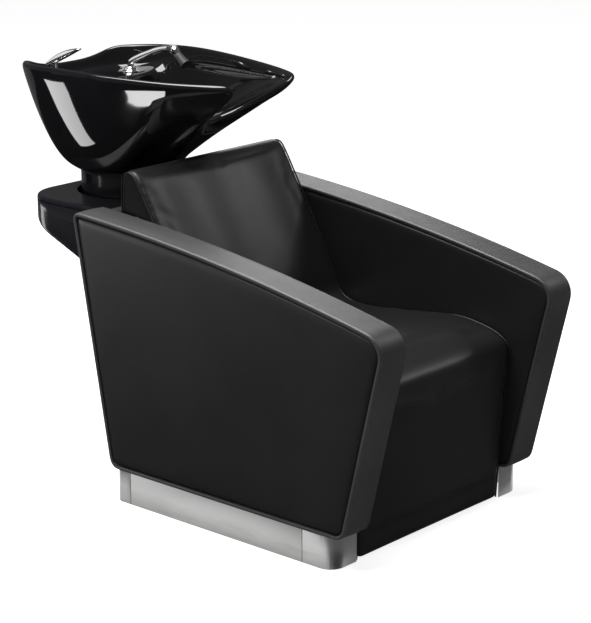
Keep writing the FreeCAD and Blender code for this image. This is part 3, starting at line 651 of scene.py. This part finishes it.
def swollen(piece, voxel, pressure, cap, frames=20):
    """Cloth simulation of a closed padded cover, which swells as far as cap lets each point go."""
    scene = bpy.context.scene
    remesh = piece.modifiers.new("even", "REMESH")
    remesh.mode = "VOXEL"
    remesh.voxel_size = voxel
    soften = piece.modifiers.new("soften", "SMOOTH")
    soften.factor = 0.5
    soften.iterations = 6
    even = baked(piece)
    piece.modifiers.clear()
    even.materials.clear()
    even.materials.append(piece.data.materials[0])
    piece.data = even
    start = [v.co.copy() for v in even.vertices]
    cloth = piece.modifiers.new("cloth", "CLOTH")
    fabric = cloth.settings
    fabric.quality = 4
    fabric.use_pressure = True
    fabric.uniform_pressure_force = pressure
    fabric.effector_weights.gravity = 0
    fabric.tension_stiffness = 20
    fabric.compression_stiffness = 20
    fabric.bending_stiffness = 3
    cloth.point_cache.frame_start = 1
    cloth.point_cache.frame_end = frames
    for number in range(1, frames + 1):
        scene.frame_set(number)
    blown = baked(piece)
    for v, w, origin in zip(even.vertices, blown.vertices, start):
        move = w.co - origin
        limit = cap(origin)
        if move.length > limit:
            move = move.normalized() * limit
        v.co = origin + move
    bpy.data.meshes.remove(blown)
    piece.modifiers.clear()
    scene.frame_set(1)
    even.shade_smooth()
    even.update()


def build_seat():
    """One-piece cover of the front, seat and back, swollen by a cloth simulation, and its two pipings."""
    way = resample(smooth_way(SILHOUETTE), 210, closed=False)
    normals = normals_2d(way, closed=False)
    if normals[0].x > 0:
        normals = [-n for n in normals]
    hidden = [Vector(p) for p in UNDER_COVER]
    closed = resample([p - n * 4.0 for p, n in zip(way, normals)] + hidden, 320)
    fill, triangles = filled(closed, 30.0)
    count = len(fill)
    wide = SEAT_HALF - 1.6
    points = [(wide, p.x, p.y) for p in fill] + [(-wide, p.x, p.y) for p in fill]
    faces = [tuple(t) for t in triangles] + [tuple(k + count for k in t)[::-1] for t in triangles]
    ring = [min(range(count), key=lambda k: (fill[k] - q).length) for q in closed]
    for a, b in zip(ring, ring[1:] + ring[:1]):
        faces.append((b, a, a + count, b + count))
    cover = make("seat_cover", (points, faces), "leather_black", replaces=("seat_upholstery",))

    def cap(place):
        """The cover is held at its seams and may rise towards the middle of each run."""
        x = abs(place.x) / MM
        y, z = place.y / MM, place.z / MM
        across = 1 - (x / SEAT_HALF) ** 4
        if x > wide - 12:
            return 1.0 * MM
        if z < 60 or y > 150 or (z < 380 and y > -60):
            return 1.2 * MM
        return (1.2 + 6.0 * across) * MM

    swollen(cover, VOXEL * MM, PRESSURE, cap)
    for v in cover.data.vertices:
        x, y, z = v.co / MM
        on_back = min(1.0, max(0.0, (z - 430) / 90)) * min(1.0, max(0.0, (752 - z) / 60))
        if y < 165 and on_back and abs(x) < wide - 6:
            fade = min(1.0, (wide - 6 - abs(x)) / 60)
            wave = math.sin((x + 255) * 2 * math.pi / 205) * 2.8
            wave += math.sin((x - 40) * 2 * math.pi / 330) * 1.2
            v.co.y += wave * on_back * fade * MM * 0.9
            v.co.z -= wave * on_back * fade * MM * 0.4
    relax = cover.modifiers.new("relax", "SMOOTH")
    relax.factor = 0.5
    relax.iterations = 4
    subdivided(cover, 1)

    for side, word in ((-1, "left"), (1, "right")):
        line = [Vector((side * (SEAT_HALF - 1.0), *(p - n * 10.5))) for p, n in zip(way, normals)]
        piping = skin(tube_along(line, 1.9, 8), capped=True)
        make("seat_piping_" + word, piping, "leather_black", material=PIPING)


# ---- basin ----
STATIONS = (
    # rim's x, y and z, direction of the foot in degrees, curves of the outer wall and of the bowl,
    # drop to the bowl's edge, share of the tap deck
    (0, 144, 821, -90, 1.02, 1.4, 6, 0),
    (33, 138, 826, -84, 1.0, 1.35, 7, 0),
    (63, 103, 849, -79, 0.88, 1.2, 9, 0),
    (79, 55, 878, -74, 0.75, 1.0, 11, 0),
    (86, 14, 903, -70, 0.66, 0.85, 13, 0),
    (93, -11, 917, -66, 0.62, 0.75, 14, 0),
    (107, -10, 926, -61, 0.62, 0.75, 15, 0),
    (127, 24, 927, -54, 0.66, 0.85, 18, 0),
    (165, 108, 926, -44, 1.0, 1.3, 36, 0),
    (190, 208, 928, -30, 1.4, 2.0, 50, 0),
    (211, 310, 930, -14, 1.65, 2.4, 55, 0),
    (216, 408, 932, 2, 1.8, 2.6, 55, 0),
    (206, 500, 929, 20, 1.85, 2.3, 55, 0.55),
    (184, 563, 924, 36, 1.9, 2.0, 50, 1),
    (144, 604, 923, 51, 1.9, 2.0, 45, 1),
    (106, 612, 909, 63, 1.9, 2.0, 42, 1),
    (62, 614, 900, 76, 1.9, 2.0, 40, 1),
    (0, 615, 899, 90, 1.9, 2.0, 40, 1),
)
BOWL_FLOOR = 703.0
DECK_EDGE = ((176, 462), (143, 484), (114, 482), (84, 476), (50, 471), (0, 469))


FIRST_DECK = len(STATIONS) - len(DECK_EDGE)


def mix(a, b, t):
    return a + (b - a) * t


def rim_normals():
    """Outward plan direction of the rim at each station."""
    loop = [(s[0], s[1]) for s in STATIONS]
    before = [(-loop[1][0], loop[1][1])] + loop[:-1]
    after = loop[1:] + [(-loop[-2][0], loop[-2][1])]
    normals = []
    for a, b in zip(before, after):
        length = math.hypot(b[0] - a[0], b[1] - a[1])
        normals.append(((b[1] - a[1]) / length, (a[0] - b[0]) / length))
    return normals


def basin_section(k, normal):
    """Poles of one section of the basin, from the drain, up the bowl, over the rim, to the base."""
    x, y, z, foot, bulge, bowl, drop, deck = STATIONS[k]
    turn = math.radians(foot)
    ux, uy = math.cos(turn), math.sin(turn)
    nx, ny = normal
    set_in = 12.0 if 2 < k < 7 else 16.0

    def off(distance, height):
        return (x + nx * distance, y + ny * distance, z + height)

    poles = []
    for radius, level in ((14, BOWL_FLOOR), (30, BOWL_FLOOR), (52, BOWL_FLOOR + 1)):
        poles.append((ux * radius, mix(DRAIN_Y, FLOOR_Y, min(1, radius / 52)) + uy * radius, level))
    floor = (ux * 74, FLOOR_Y + uy * 66, BOWL_FLOOR + 6)
    top = off(-set_in, -drop)
    if deck:
        edge = DECK_EDGE[k - FIRST_DECK]
        top = (mix(top[0], edge[0], deck), mix(top[1], edge[1], deck), mix(top[2], DECK_Z - 9, deck))
    poles.append(floor)
    for share in (0.3, 0.55, 0.78, 0.93, 1.0):
        poles.append((mix(floor[0], top[0], share), mix(floor[1], top[1], share),
                      mix(floor[2], top[2], share ** bowl)))
    wall = [off(-set_in * inward, -drop * down)
            for inward, down in ((0.97, 0.8), (0.93, 0.6), (0.87, 0.42), (0.8, 0.28))]
    shelf = wall
    if deck:
        far = off(-24, 0)
        level = DECK_Z + 0.5
        shelf = [(mix(top[0], far[0], share), mix(top[1], far[1], share), level)
                 for share in (0.1, 0.4, 0.95)]
        shelf.append(off(-14, level + 3 - z))
    for a, b in zip(wall, shelf):
        poles.append(tuple(mix(p, q, deck) for p, q in zip(a, b)))
    poles += [off(-10, -5), off(-6, 0), off(1, 0.5), off(5, -4), off(6, -12)]
    rim = off(2.5, -26)
    for share in (0.92, 0.76, 0.56, 0.36, 0.18, 0.05):
        poles.append((mix(ux * BASE_R, rim[0], share), mix(COLUMN_Y + uy * BASE_R, rim[1], share),
                      mix(BASIN_BASE + 4, rim[2], share ** bulge)))
    for radius, level in ((BASE_R - 2, BASIN_BASE), (BASE_R - 9, BASIN_BASE)):
        poles.append((ux * radius, COLUMN_Y + uy * radius, level))
    return poles


def cubic(t):
    """Weights of four neighbouring poles of a uniform cubic B-spline."""
    return ((1 - t) ** 3 / 6, (3 * t ** 3 - 6 * t ** 2 + 4) / 6,
            (-3 * t ** 3 + 3 * t ** 2 + 3 * t + 1) / 6, t ** 3 / 6)


def spline_rows(rows, steps, closed):
    """Rows of points on the B-spline whose poles are the given rows, with clamped ends if open."""
    if not closed:
        first = [[2 * a - b for a, b in zip(p, q)] for p, q in zip(rows[0], rows[1])]
        last = [[2 * a - b for a, b in zip(p, q)] for p, q in zip(rows[-1], rows[-2])]
        rows = [first] + rows + [last]
    spans = len(rows) if closed else len(rows) - 3
    out = []
    for k in range(spans):
        four = [rows[(k + n) % len(rows)] for n in range(4)]
        for s in range(steps + (1 if not closed and k == spans - 1 else 0)):
            weights = cubic(s / steps)
            out.append([tuple(sum(w * row[i][axis] for w, row in zip(weights, four)) for axis in range(3))
                        for i in range(len(four[0]))])
    return out


def build_basin():
    """Bowl, tap deck, rim, outer wall and foot in one closed skin with the drain through its floor."""
    sections = [basin_section(k, n) for k, n in enumerate(rim_normals())]
    mirrored = [[(-x, y, z) for x, y, z in section] for section in sections[-2:0:-1]]
    around = spline_rows(sections + mirrored, 6, closed=True)
    down = [list(row) for row in zip(*around)]
    loops = spline_rows(down, 5, closed=False)
    drain = [k for k, loop in enumerate(loops) if max(math.hypot(p[0], p[1] - DRAIN_Y) for p in loop) < 24]
    loops = loops[max(drain):]
    foot = loops[-1]
    for radius, z in ((70, BASIN_BASE), (26, BASIN_BASE), (24, BASIN_BASE + 2), (24, BASIN_BASE + 20)):
        turn = [math.atan2(p[1] - COLUMN_Y, p[0]) for p in foot]
        middle = COLUMN_Y if radius == 70 else DRAIN_Y
        loops.append([(radius * math.cos(a), middle + radius * math.sin(a), z) for a in turn])
    make("ceramic_basin", skin(loops, close_along=True), "basin_glaze", "basin", ("basin",))


# ---- taps and small parts ----
def refined(node, body, width):
    """A copy of a hard part with its sharp edges rounded over."""
    source = frame["nodes"][node]
    mesh = source.data.copy()
    shape = bmesh.new()
    shape.from_mesh(mesh)
    shape.transform(source.matrix_world)
    bmesh.ops.remove_doubles(shape, verts=shape.verts, dist=0.00002)
    bmesh.ops.dissolve_limit(shape, angle_limit=math.radians(0.6), verts=shape.verts, edges=shape.edges)
    shape.to_mesh(mesh)
    shape.free()
    made = placed(node + "_detail", mesh)
    mesh.materials.clear()
    mesh.materials.append(MATERIALS[SLOT_OF[node]])
    mesh.shade_smooth()
    bevel = made.modifiers.new("edges", "BEVEL")
    bevel.width = width * MM
    bevel.segments = 3
    bevel.limit_method = "ANGLE"
    bevel.angle_limit = math.radians(32.0)
    bevel.harden_normals = True
    bevel.miter_outer = "MITER_ARC"
    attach(made, body)
    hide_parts(node)


def arc_point(a, b, c, share):
    """A point of the arc from a through b to c."""
    centre = circle_through(a, b, c)
    start = Vector(a) - centre
    end = Vector(c) - centre
    turn = math.atan2(start.x * end.y - start.y * end.x, start.dot(end)) * share
    return centre + rotated(start, turn)


def build_lever():
    """Leaf-shaped lever: crowned above, slightly hollow below, thinning to a rounded tip."""
    loops = []
    steps = 30
    for k in range(steps + 1):
        share = k / steps
        top = arc_point((556, 913), (516, 941), (438, 963), share)
        low = arc_point((549, 909.5), (492, 933), (438.5, 961.2), share)
        tip = min(1.0, (1 - share) / 0.10)
        heel = min(1.0, share / 0.05)
        taper = math.sqrt(max(0.0, 1 - (1 - tip) ** 2)) * math.sqrt(max(0.0, 1 - (1 - heel) ** 2))
        width = mix(14.0, 8.8, share) * max(taper, 0.08)
        middle = (top + low) / 2
        half = (top - low) / 2 * (0.55 + 0.45 * taper)
        ring = []
        for c, d in circle(28):
            across = math.copysign(abs(c) ** 0.75, c) * width
            rise = math.copysign(abs(d) ** 0.8, d)
            if d < 0:
                rise *= 0.72 + 0.28 * abs(c)
            ring.append((-TAP_X + across, middle.x + half.x * rise, middle.y + half.y * rise))
        loops.append(ring)
    make("lever_blade", skin(loops, capped=True), "chrome", "mixer_lever", ("mixer_lever",), subdivide=1)


def build_mixer():
    """Base plate, barrel and cap of the single-lever mixer."""
    centre = (-TAP_X, MIXER_Y)
    plate = ((20, 0.1), (26.6, 0.1), (27, 0.6), (27, 1.8), (26.3, 3.2), (24.6, 3.9), (22.1, 4.0))
    turned("mixer_plate", [(radius, DECK_Z + height) for radius, height in plate],
           centre, "chrome", "basin", ("mixer_ring",))
    barrel = ((22, 873.6), (22, 889.4), (21.8, 890.0), (21.2, 890.4), (21.2, 891.2), (21.7, 891.6),
              (21.6, 892.2), (20.8, 892.5), (15.2, 892.5), (15.2, 880))
    turned("mixer_barrel", barrel, centre, "chrome", "basin", ("mixer_body",))
    refined("mixer_cap", "mixer_cap", 0.8)


def build_shower():
    """Hand shower: stem, curved grip and ribbed nozzle, its socket and the top of its hose."""
    way = ((SHOWER_Y, 872), (SHOWER_Y, 884), (517, 896), (487, 911), (460, 921.5), (434, 931), (408, 938),
           (386, 940.5), (372, 935), (364, 925.5))
    flat = smooth_way(way, 7)
    sizes = []
    for k in range(len(flat)):
        share = k / (len(flat) - 1)
        size = 7.4 + 1.0 * math.cos(math.pi * share) ** 2
        size += 3.2 * math.exp(-((share - 0.86) / 0.07) ** 2)
        sizes.append(size)
    line = [Vector((TAP_X, SHOWER_Y, z)) for z in (832, 852)] + [Vector((TAP_X, p.x, p.y)) for p in flat]
    grip = skin(tube_along(line, sizes[:1] * 2 + sizes, 28), capped=True)
    make("shower_grip", grip, "chrome", "hand_shower", ("shower_handle",))
    turned("shower_hose", [(6.4, 800), (7.6, 800), (7.6, 834), (6.4, 834)], (TAP_X, SHOWER_Y), "hose_braid",
           "hand_shower")
    socket = ((9, 0.1), (19.6, 0.1), (20, 0.6), (20, 2.2), (19.2, 3.4), (16.4, 4.6), (14.6, 7.4),
              (13.8, 10.8), (13.0, 11.8), (11.8, 12.0), (10.0, 11.6), (9.4, 8))
    turned("shower_socket", [(radius, DECK_Z + height) for radius, height in socket],
           (TAP_X, SHOWER_Y), "chrome", "basin", ("shower_holder",))

    start, tip = Vector((TAP_X, 366, 927)), Vector((TAP_X, 339, 906))
    along = (tip - start).normalized()
    across = Vector((1, 0, 0))
    up = across.cross(along)
    profile = [(7.0, 0.00), (8.8, 0.01), (9.3, 0.05)]
    for rib in range(5):
        base = 0.12 + rib * 0.15
        size = 9.5 + 3.0 * base
        profile += [(size, base), (size + 0.5, base + 0.03), (size + 0.5, base + 0.075),
                    (size - 0.3, base + 0.105)]
    profile += [(12.3, 0.90), (12.5, 0.94), (12.3, 0.985), (11.3, 1.0), (9.5, 0.985)]
    loops = [[start.lerp(tip, share) + (across * c + up * s) * size for c, s in circle(40)]
             for size, share in profile]
    make("shower_nozzle", skin(loops, capped=True), "nozzle_plastic", "hand_shower", ("spray_nozzle",))


def build_plinth_joints():
    """Dark seal in each upright seam between the stainless sheets."""
    wall = edges_mm("plinth_side_right")[1].x
    for side in (-1, 1):
        for seam, word in ((-414.0, "front"), (93.0, "rear")):
            loops = []
            for z in (2.0, 2.6, 20, 40, 60, 74.2, 74.8):
                lip = 0.5 if z in (2.0, 74.8) else 0.0
                face = wall + 0.02 - lip
                section = ((wall - 1.4, -0.9 + lip), (face, -0.8 + lip), (wall + 0.12 - lip, 0.0),
                           (face, 0.8 - lip), (wall - 1.4, 0.9 - lip))
                loops.append([(side * x, seam + y, z) for x, y in section])
            name = "plinth_seal_%s_%s" % (word, "right" if side > 0 else "left")
            make(name, skin(loops if side > 0 else loops[::-1], capped=True), "rubber_black")


REFINED = (
    # node, the body that it rides on, width of its rounded edges
    ("nozzle_face", "hand_shower", 0.4), ("spray_button", "spray_button", 0.8),
    ("drain_flange", "basin", 0.8), ("hair_strainer", "strainer", 0.3),
    ("plinth_corner_left", "root", 0.4), ("plinth_corner_right", "root", 0.4),
    ("plinth_side_left", "root", 0.4), ("plinth_side_right", "root", 0.4), ("plinth_rear_wrap", "root", 0.4),
    ("rear_upper_panel", "root", 1.2), ("service_panel", "root", 1.2), ("rear_deck", "root", 1.2),
    ("cover_screws", "root", 0.4), ("levelling_feet", "root", 0.6),
)


# ---- shelf and column ----
PANEL_FOOT = (128.0, 75.0)
PANEL_TOP = (231.0, 640.0)
HOLE_R = 122.0


def panel_y(z):
    """Rear face of the panel that closes the chair's back, which leans with the arms."""
    lean = (PANEL_TOP[0] - PANEL_FOOT[0]) / (PANEL_TOP[1] - PANEL_FOOT[1])
    return PANEL_FOOT[0] + lean * (z - PANEL_FOOT[1])


def shelf_underside(y):
    """Height of the shelf's underside, which rises towards the rear."""
    return 494.0 + 0.41 * (y - 380.0)


def blended(a, b, share):
    """Loop part of the way from one loop to another."""
    return [tuple(mix(p, q, share) for p, q in zip(here, there)) for here, there in zip(a, b)]


def build_shelf():
    """Top cover with the column's opening and, below a fine joint, the moulded shell."""
    corner = 90.0
    front = panel_y(SHELF_TOP) + 1
    corners = [(-SHELF_HALF, front, 0), (SHELF_HALF, front, 0), (SHELF_HALF, SHELF_REAR, corner),
               (-SHELF_HALF, SHELF_REAR, corner)]
    outline = rounded_outline(corners, 16)
    dense = resample(outline, 192)
    angles = [math.atan2(p.y - COLUMN_Y, p.x) for p in dense]
    normals = normals_2d(dense)
    if normals[0].dot(dense[0] - Vector((0, COLUMN_Y))) < 0:
        normals = [-n for n in normals]

    def ring(inset, z=None, above=None):
        """The outline set in, at a height or above the underside; its front follows the panel."""
        out = []
        for p, n in zip(dense, normals):
            q = p - n * inset
            level = z if z is not None else shelf_underside(q.y) + above
            y = q.y
            if p.y < front + 1.5:
                y = panel_y(level) + 1 + inset
                level = z if z is not None else shelf_underside(y) + above
            out.append((q.x, y, level))
        return out

    def hole(radius, z):
        return [(radius * math.cos(a), COLUMN_Y + radius * math.sin(a), z) for a in angles]

    edge = 7.0
    joint = SHELF_TOP - 12
    top = [hole(HOLE_R, SHELF_TOP - 14), hole(HOLE_R, SHELF_TOP - 2.2), hole(HOLE_R + 0.6, SHELF_TOP - 0.8),
           hole(HOLE_R + 2, SHELF_TOP - 0.1), hole(HOLE_R + 5, SHELF_TOP)]
    top += [blended(hole(HOLE_R + 5, SHELF_TOP), ring(16, SHELF_TOP), share) for share in (0.33, 0.66)]
    top += [ring(16, SHELF_TOP)]
    for k in range(7):
        turn = math.pi / 2 * k / 6
        top.append(ring(edge * (1 - math.sin(turn)), SHELF_TOP - edge * (1 - math.cos(turn))))
    top += [ring(0, joint + 0.9), ring(0.4, joint + 0.4), ring(3, joint + 0.3)]
    make("shelf_top", skin(top, close_along=True), "shelf_gloss", replaces=("shelf_top_cover",))

    low = 13.0
    body = [ring(3, joint - 0.3), ring(0.4, joint - 0.4), ring(0, joint - 0.9)]
    body += [blended(ring(0, joint - 0.9), ring(0, None, low), share) for share in (0.33, 0.66)]
    for k in range(7):
        turn = math.pi / 2 * k / 6
        body.append(ring(low * (1 - math.cos(turn)), None, low * (1 - math.sin(turn))))
    body += [ring(40, None, 0), ring(90, None, 0), ring(150, None, 0)]
    wall = [ring(150, None, 4), ring(90, None, 4), ring(40, None, 4), ring(14, None, 6), ring(6, None, 12),
            ring(4, None, 24), ring(4, joint - 0.3)]
    make("shelf_body", skin(wall + body, capped=True), "shelf_gloss", replaces=("shelf_shell",))


def build_column():
    """Sleeve between the shelf and the basin's foot."""
    top = BASIN_BASE
    profile = [(COLUMN_R - 3, COLUMN_FOOT), (COLUMN_R - 0.6, COLUMN_FOOT + 0.4),
               (COLUMN_R, COLUMN_FOOT + 1.5)]
    profile += [(COLUMN_R, mix(COLUMN_FOOT + 1.5, top - 1.6, k / 6)) for k in range(1, 7)]
    profile += [(COLUMN_R - 0.7, top - 0.3), (COLUMN_R - 4, top)]
    profile += [(COLUMN_R - 4, mix(top, COLUMN_FOOT, k / 3)) for k in (1, 2, 3)]
    turned("column", profile, (0, COLUMN_Y), "shelf_gloss", "basin", ("column_sleeve",), steps=128)


# ---- staging ----
def area_light(name, place, target, size, energy):
    """Rectangular softbox at a place, facing a target."""
    data = bpy.data.lights.new(name, "AREA")
    data.shape = "RECTANGLE"
    data.size, data.size_y = size
    data.energy = energy
    lamp = placed(name, data)
    lamp.location = place
    lamp.rotation_euler = (Vector(target) - Vector(place)).to_track_quat("-Z", "Y").to_euler()
    lamp.visible_camera = False
    return lamp


# brightness of the surroundings, from straight below (0) to straight above (1)
SKY = ((0.0, 0.02), (0.27, 0.02), (0.30, 0.12), (0.38, 0.14), (0.46, 0.10), (0.52, 0.08), (0.62, 0.08),
       (1.0, 0.14))


def pieces_in(*names):
    """Every piece with one of these names, or whose material has one of these slot names."""
    wanted = {MATERIALS[name] for name in names if name in MATERIALS}
    if "leather_black" in names:
        wanted.add(PIPING)
    found = []
    for piece in bpy.context.scene.objects:
        shown = piece.type == "MESH" and piece.data.materials
        if shown and (piece.name in names or piece.data.materials[0] in wanted):
            found.append(piece)
    return found


def lit_only(lamp, *names):
    """Keep a lamp's light on some pieces."""
    group = bpy.data.collections.new(lamp.name + "_on")
    for piece in pieces_in(*names):
        group.objects.link(piece)
    lamp.light_linking.receiver_collection = group


def sheet(name, corners):
    """A flat four-sided object."""
    mesh = bpy.data.meshes.new(name)
    mesh.from_pydata(corners, [], [(0, 1, 2, 3)])
    return placed(name, mesh)


def card(name, corners, strength, *slots):
    """A softbox seen only as a reflection in some pieces."""
    board = sheet(name, corners)
    board.visible_camera = False
    board.visible_diffuse = False
    board.visible_shadow = False
    shade = Shade(name)
    shade.colours(shade.noise(1.0, 1), (0, 0, 0), (0, 0, 0))
    shade.set(Emission_Color=(1, 1, 1, 1), Emission_Strength=strength)
    board.data.materials.append(shade.material)
    lit_only(board, *slots)


def build_stage():
    """White floor, and surroundings that the camera sees as plain white."""
    size = 14.0
    floor = sheet("floor", ((-size, -size, 0), (size, -size, 0), (size, size, 0), (-size, size, 0)))
    floor.visible_glossy = False
    m = Shade("floor_paint")
    m.colours(m.noise(0.8, 2), (0.80, 0.80, 0.80), (0.83, 0.83, 0.83))
    m.rough(m.noise(3, 3), 0.5, 0.6)
    m.set(Emission_Color=(1, 1, 1, 1), Emission_Strength=0.86)
    floor.data.materials.append(m.material)

    world = bpy.data.worlds.new("studio")
    world.use_nodes = True
    tree = world.node_tree
    around = tree.nodes["Background"]
    around.inputs["Strength"].default_value = 1.0
    seen = tree.nodes.new("ShaderNodeBackground")
    seen.inputs["Color"].default_value = (1, 1, 1, 1)
    direction = tree.nodes.new("ShaderNodeTexCoord")
    split = tree.nodes.new("ShaderNodeSeparateXYZ")
    height = tree.nodes.new("ShaderNodeMapRange")
    height.inputs["From Min"].default_value = -1.0
    ramp = tree.nodes.new("ShaderNodeValToRGB")
    for k, (place, level) in enumerate(SKY):
        if k < 2:
            stop = ramp.color_ramp.elements[k]
            stop.position = place
        else:
            stop = ramp.color_ramp.elements.new(place)
        stop.color = (level, level, level, 1)
    path = tree.nodes.new("ShaderNodeLightPath")
    choose = tree.nodes.new("ShaderNodeMixShader")
    for output, target in (
            (direction.outputs["Generated"], split.inputs[0]),
            (split.outputs["Z"], height.inputs["Value"]),
            (height.outputs["Result"], ramp.inputs["Fac"]),
            (ramp.outputs["Color"], around.inputs["Color"]),
            (path.outputs["Is Camera Ray"], choose.inputs[0]),
            (around.outputs[0], choose.inputs[1]),
            (seen.outputs[0], choose.inputs[2]),
            (choose.outputs[0], tree.nodes["World Output"].inputs["Surface"])):
        tree.links.new(output, target)
    bpy.context.scene.world = world


def build_lights():
    """Softboxes over the whole product, and lamps and cards that reach only some materials."""
    soft = ("leather_black", "leather_grey")
    taps = ("chrome", "nozzle_plastic")
    area_light("top", (-0.9, 0.3, 3.3), (0, -0.1, 0.4), (2.4, 2.4), 190)
    lit_only(area_light("over_arms", (0.3, 1.1, 3.0), (0, -0.2, 0.5), (2.0, 2.0), 130), "leather_grey")
    lit_only(area_light("rear_right", (2.3, 2.1, 1.9), (0, -0.1, 0.6), (1.8, 1.2), 24), *soft)
    lit_only(area_light("rear_left", (-1.7, 2.4, 0.8), (-0.3, 0.1, 0.4), (1.2, 1.4), 24),
             "arm_outer_panel_left", "arm_outer_panel_right", "leather_grey")
    lit_only(area_light("front_right", (2.1, -1.7, 2.5), (0, 0.1, 0.65), (0.35, 1.0), 20), *soft)
    lit_only(area_light("over_taps", (1.4, 1.6, 2.6), (0, 0.45, 0.9), (1.8, 1.8), 9), *taps)
    lit_only(area_light("by_taps", (-1.0, 2.5, 1.3), (0, 0.45, 0.9), (2.4, 1.7), 11), *taps)
    card("strip", ((-0.66, 1.63, 0.37), (-0.93, 1.42, 0.29), (-0.90, 1.02, -0.26), (-0.71, 1.28, -0.10)),
         5.2, "basin_glaze")
    card("window", ((-1.027, 0.703, 0.164), (-1.008, 0.424, 0.029), (-0.665, 0.469, -0.214),
                    (-0.905, 0.659, 0.050)), 10.0, "basin_glaze")
    card("shelf_strip", ((-0.45, 2.66, -0.5), (-1.40, 2.28, -0.5), (-1.40, 2.28, 0.5), (-0.45, 2.66, 0.5)),
         3.0, "shelf_body")
    card("column_strip", ((-1.75, 1.42, -0.5), (-1.84, 1.28, -0.5), (-1.84, 1.28, 0.7), (-1.75, 1.42, 0.7)),
         2.0, "column")
    card("under", ((-5, -1.3, -0.9), (5, -1.3, -0.9), (5, 5, -0.9), (-5, 5, -0.9)), 0.86, "stainless")


def build_camera():
    data = bpy.data.cameras.new("camera")
    data.lens = 125.35
    data.sensor_width = 36.0
    data.sensor_fit = "AUTO"
    data.clip_end = 60
    camera = placed("camera", data)
    camera.location = (-3.4888, -3.1783, 1.7467)
    back = Vector((-0.72174, -0.63513, 0.27513))
    camera.rotation_mode = "QUATERNION"
    camera.rotation_quaternion = (-back).to_track_quat("-Z", "Y")
    bpy.context.scene.camera = camera
    bpy.context.scene.view_settings.view_transform = "Standard"


for arm_side, arm_word in ((-1, "left"), (1, "right")):
    build_arm(arm_side, arm_word)
build_seat()
build_basin()
build_shelf()
build_column()
build_lever()
build_mixer()
build_shower()
build_plinth_joints()
for part, rider, edge_width in REFINED:
    refined(part, rider, edge_width)
build_stage()
build_lights()
build_camera()
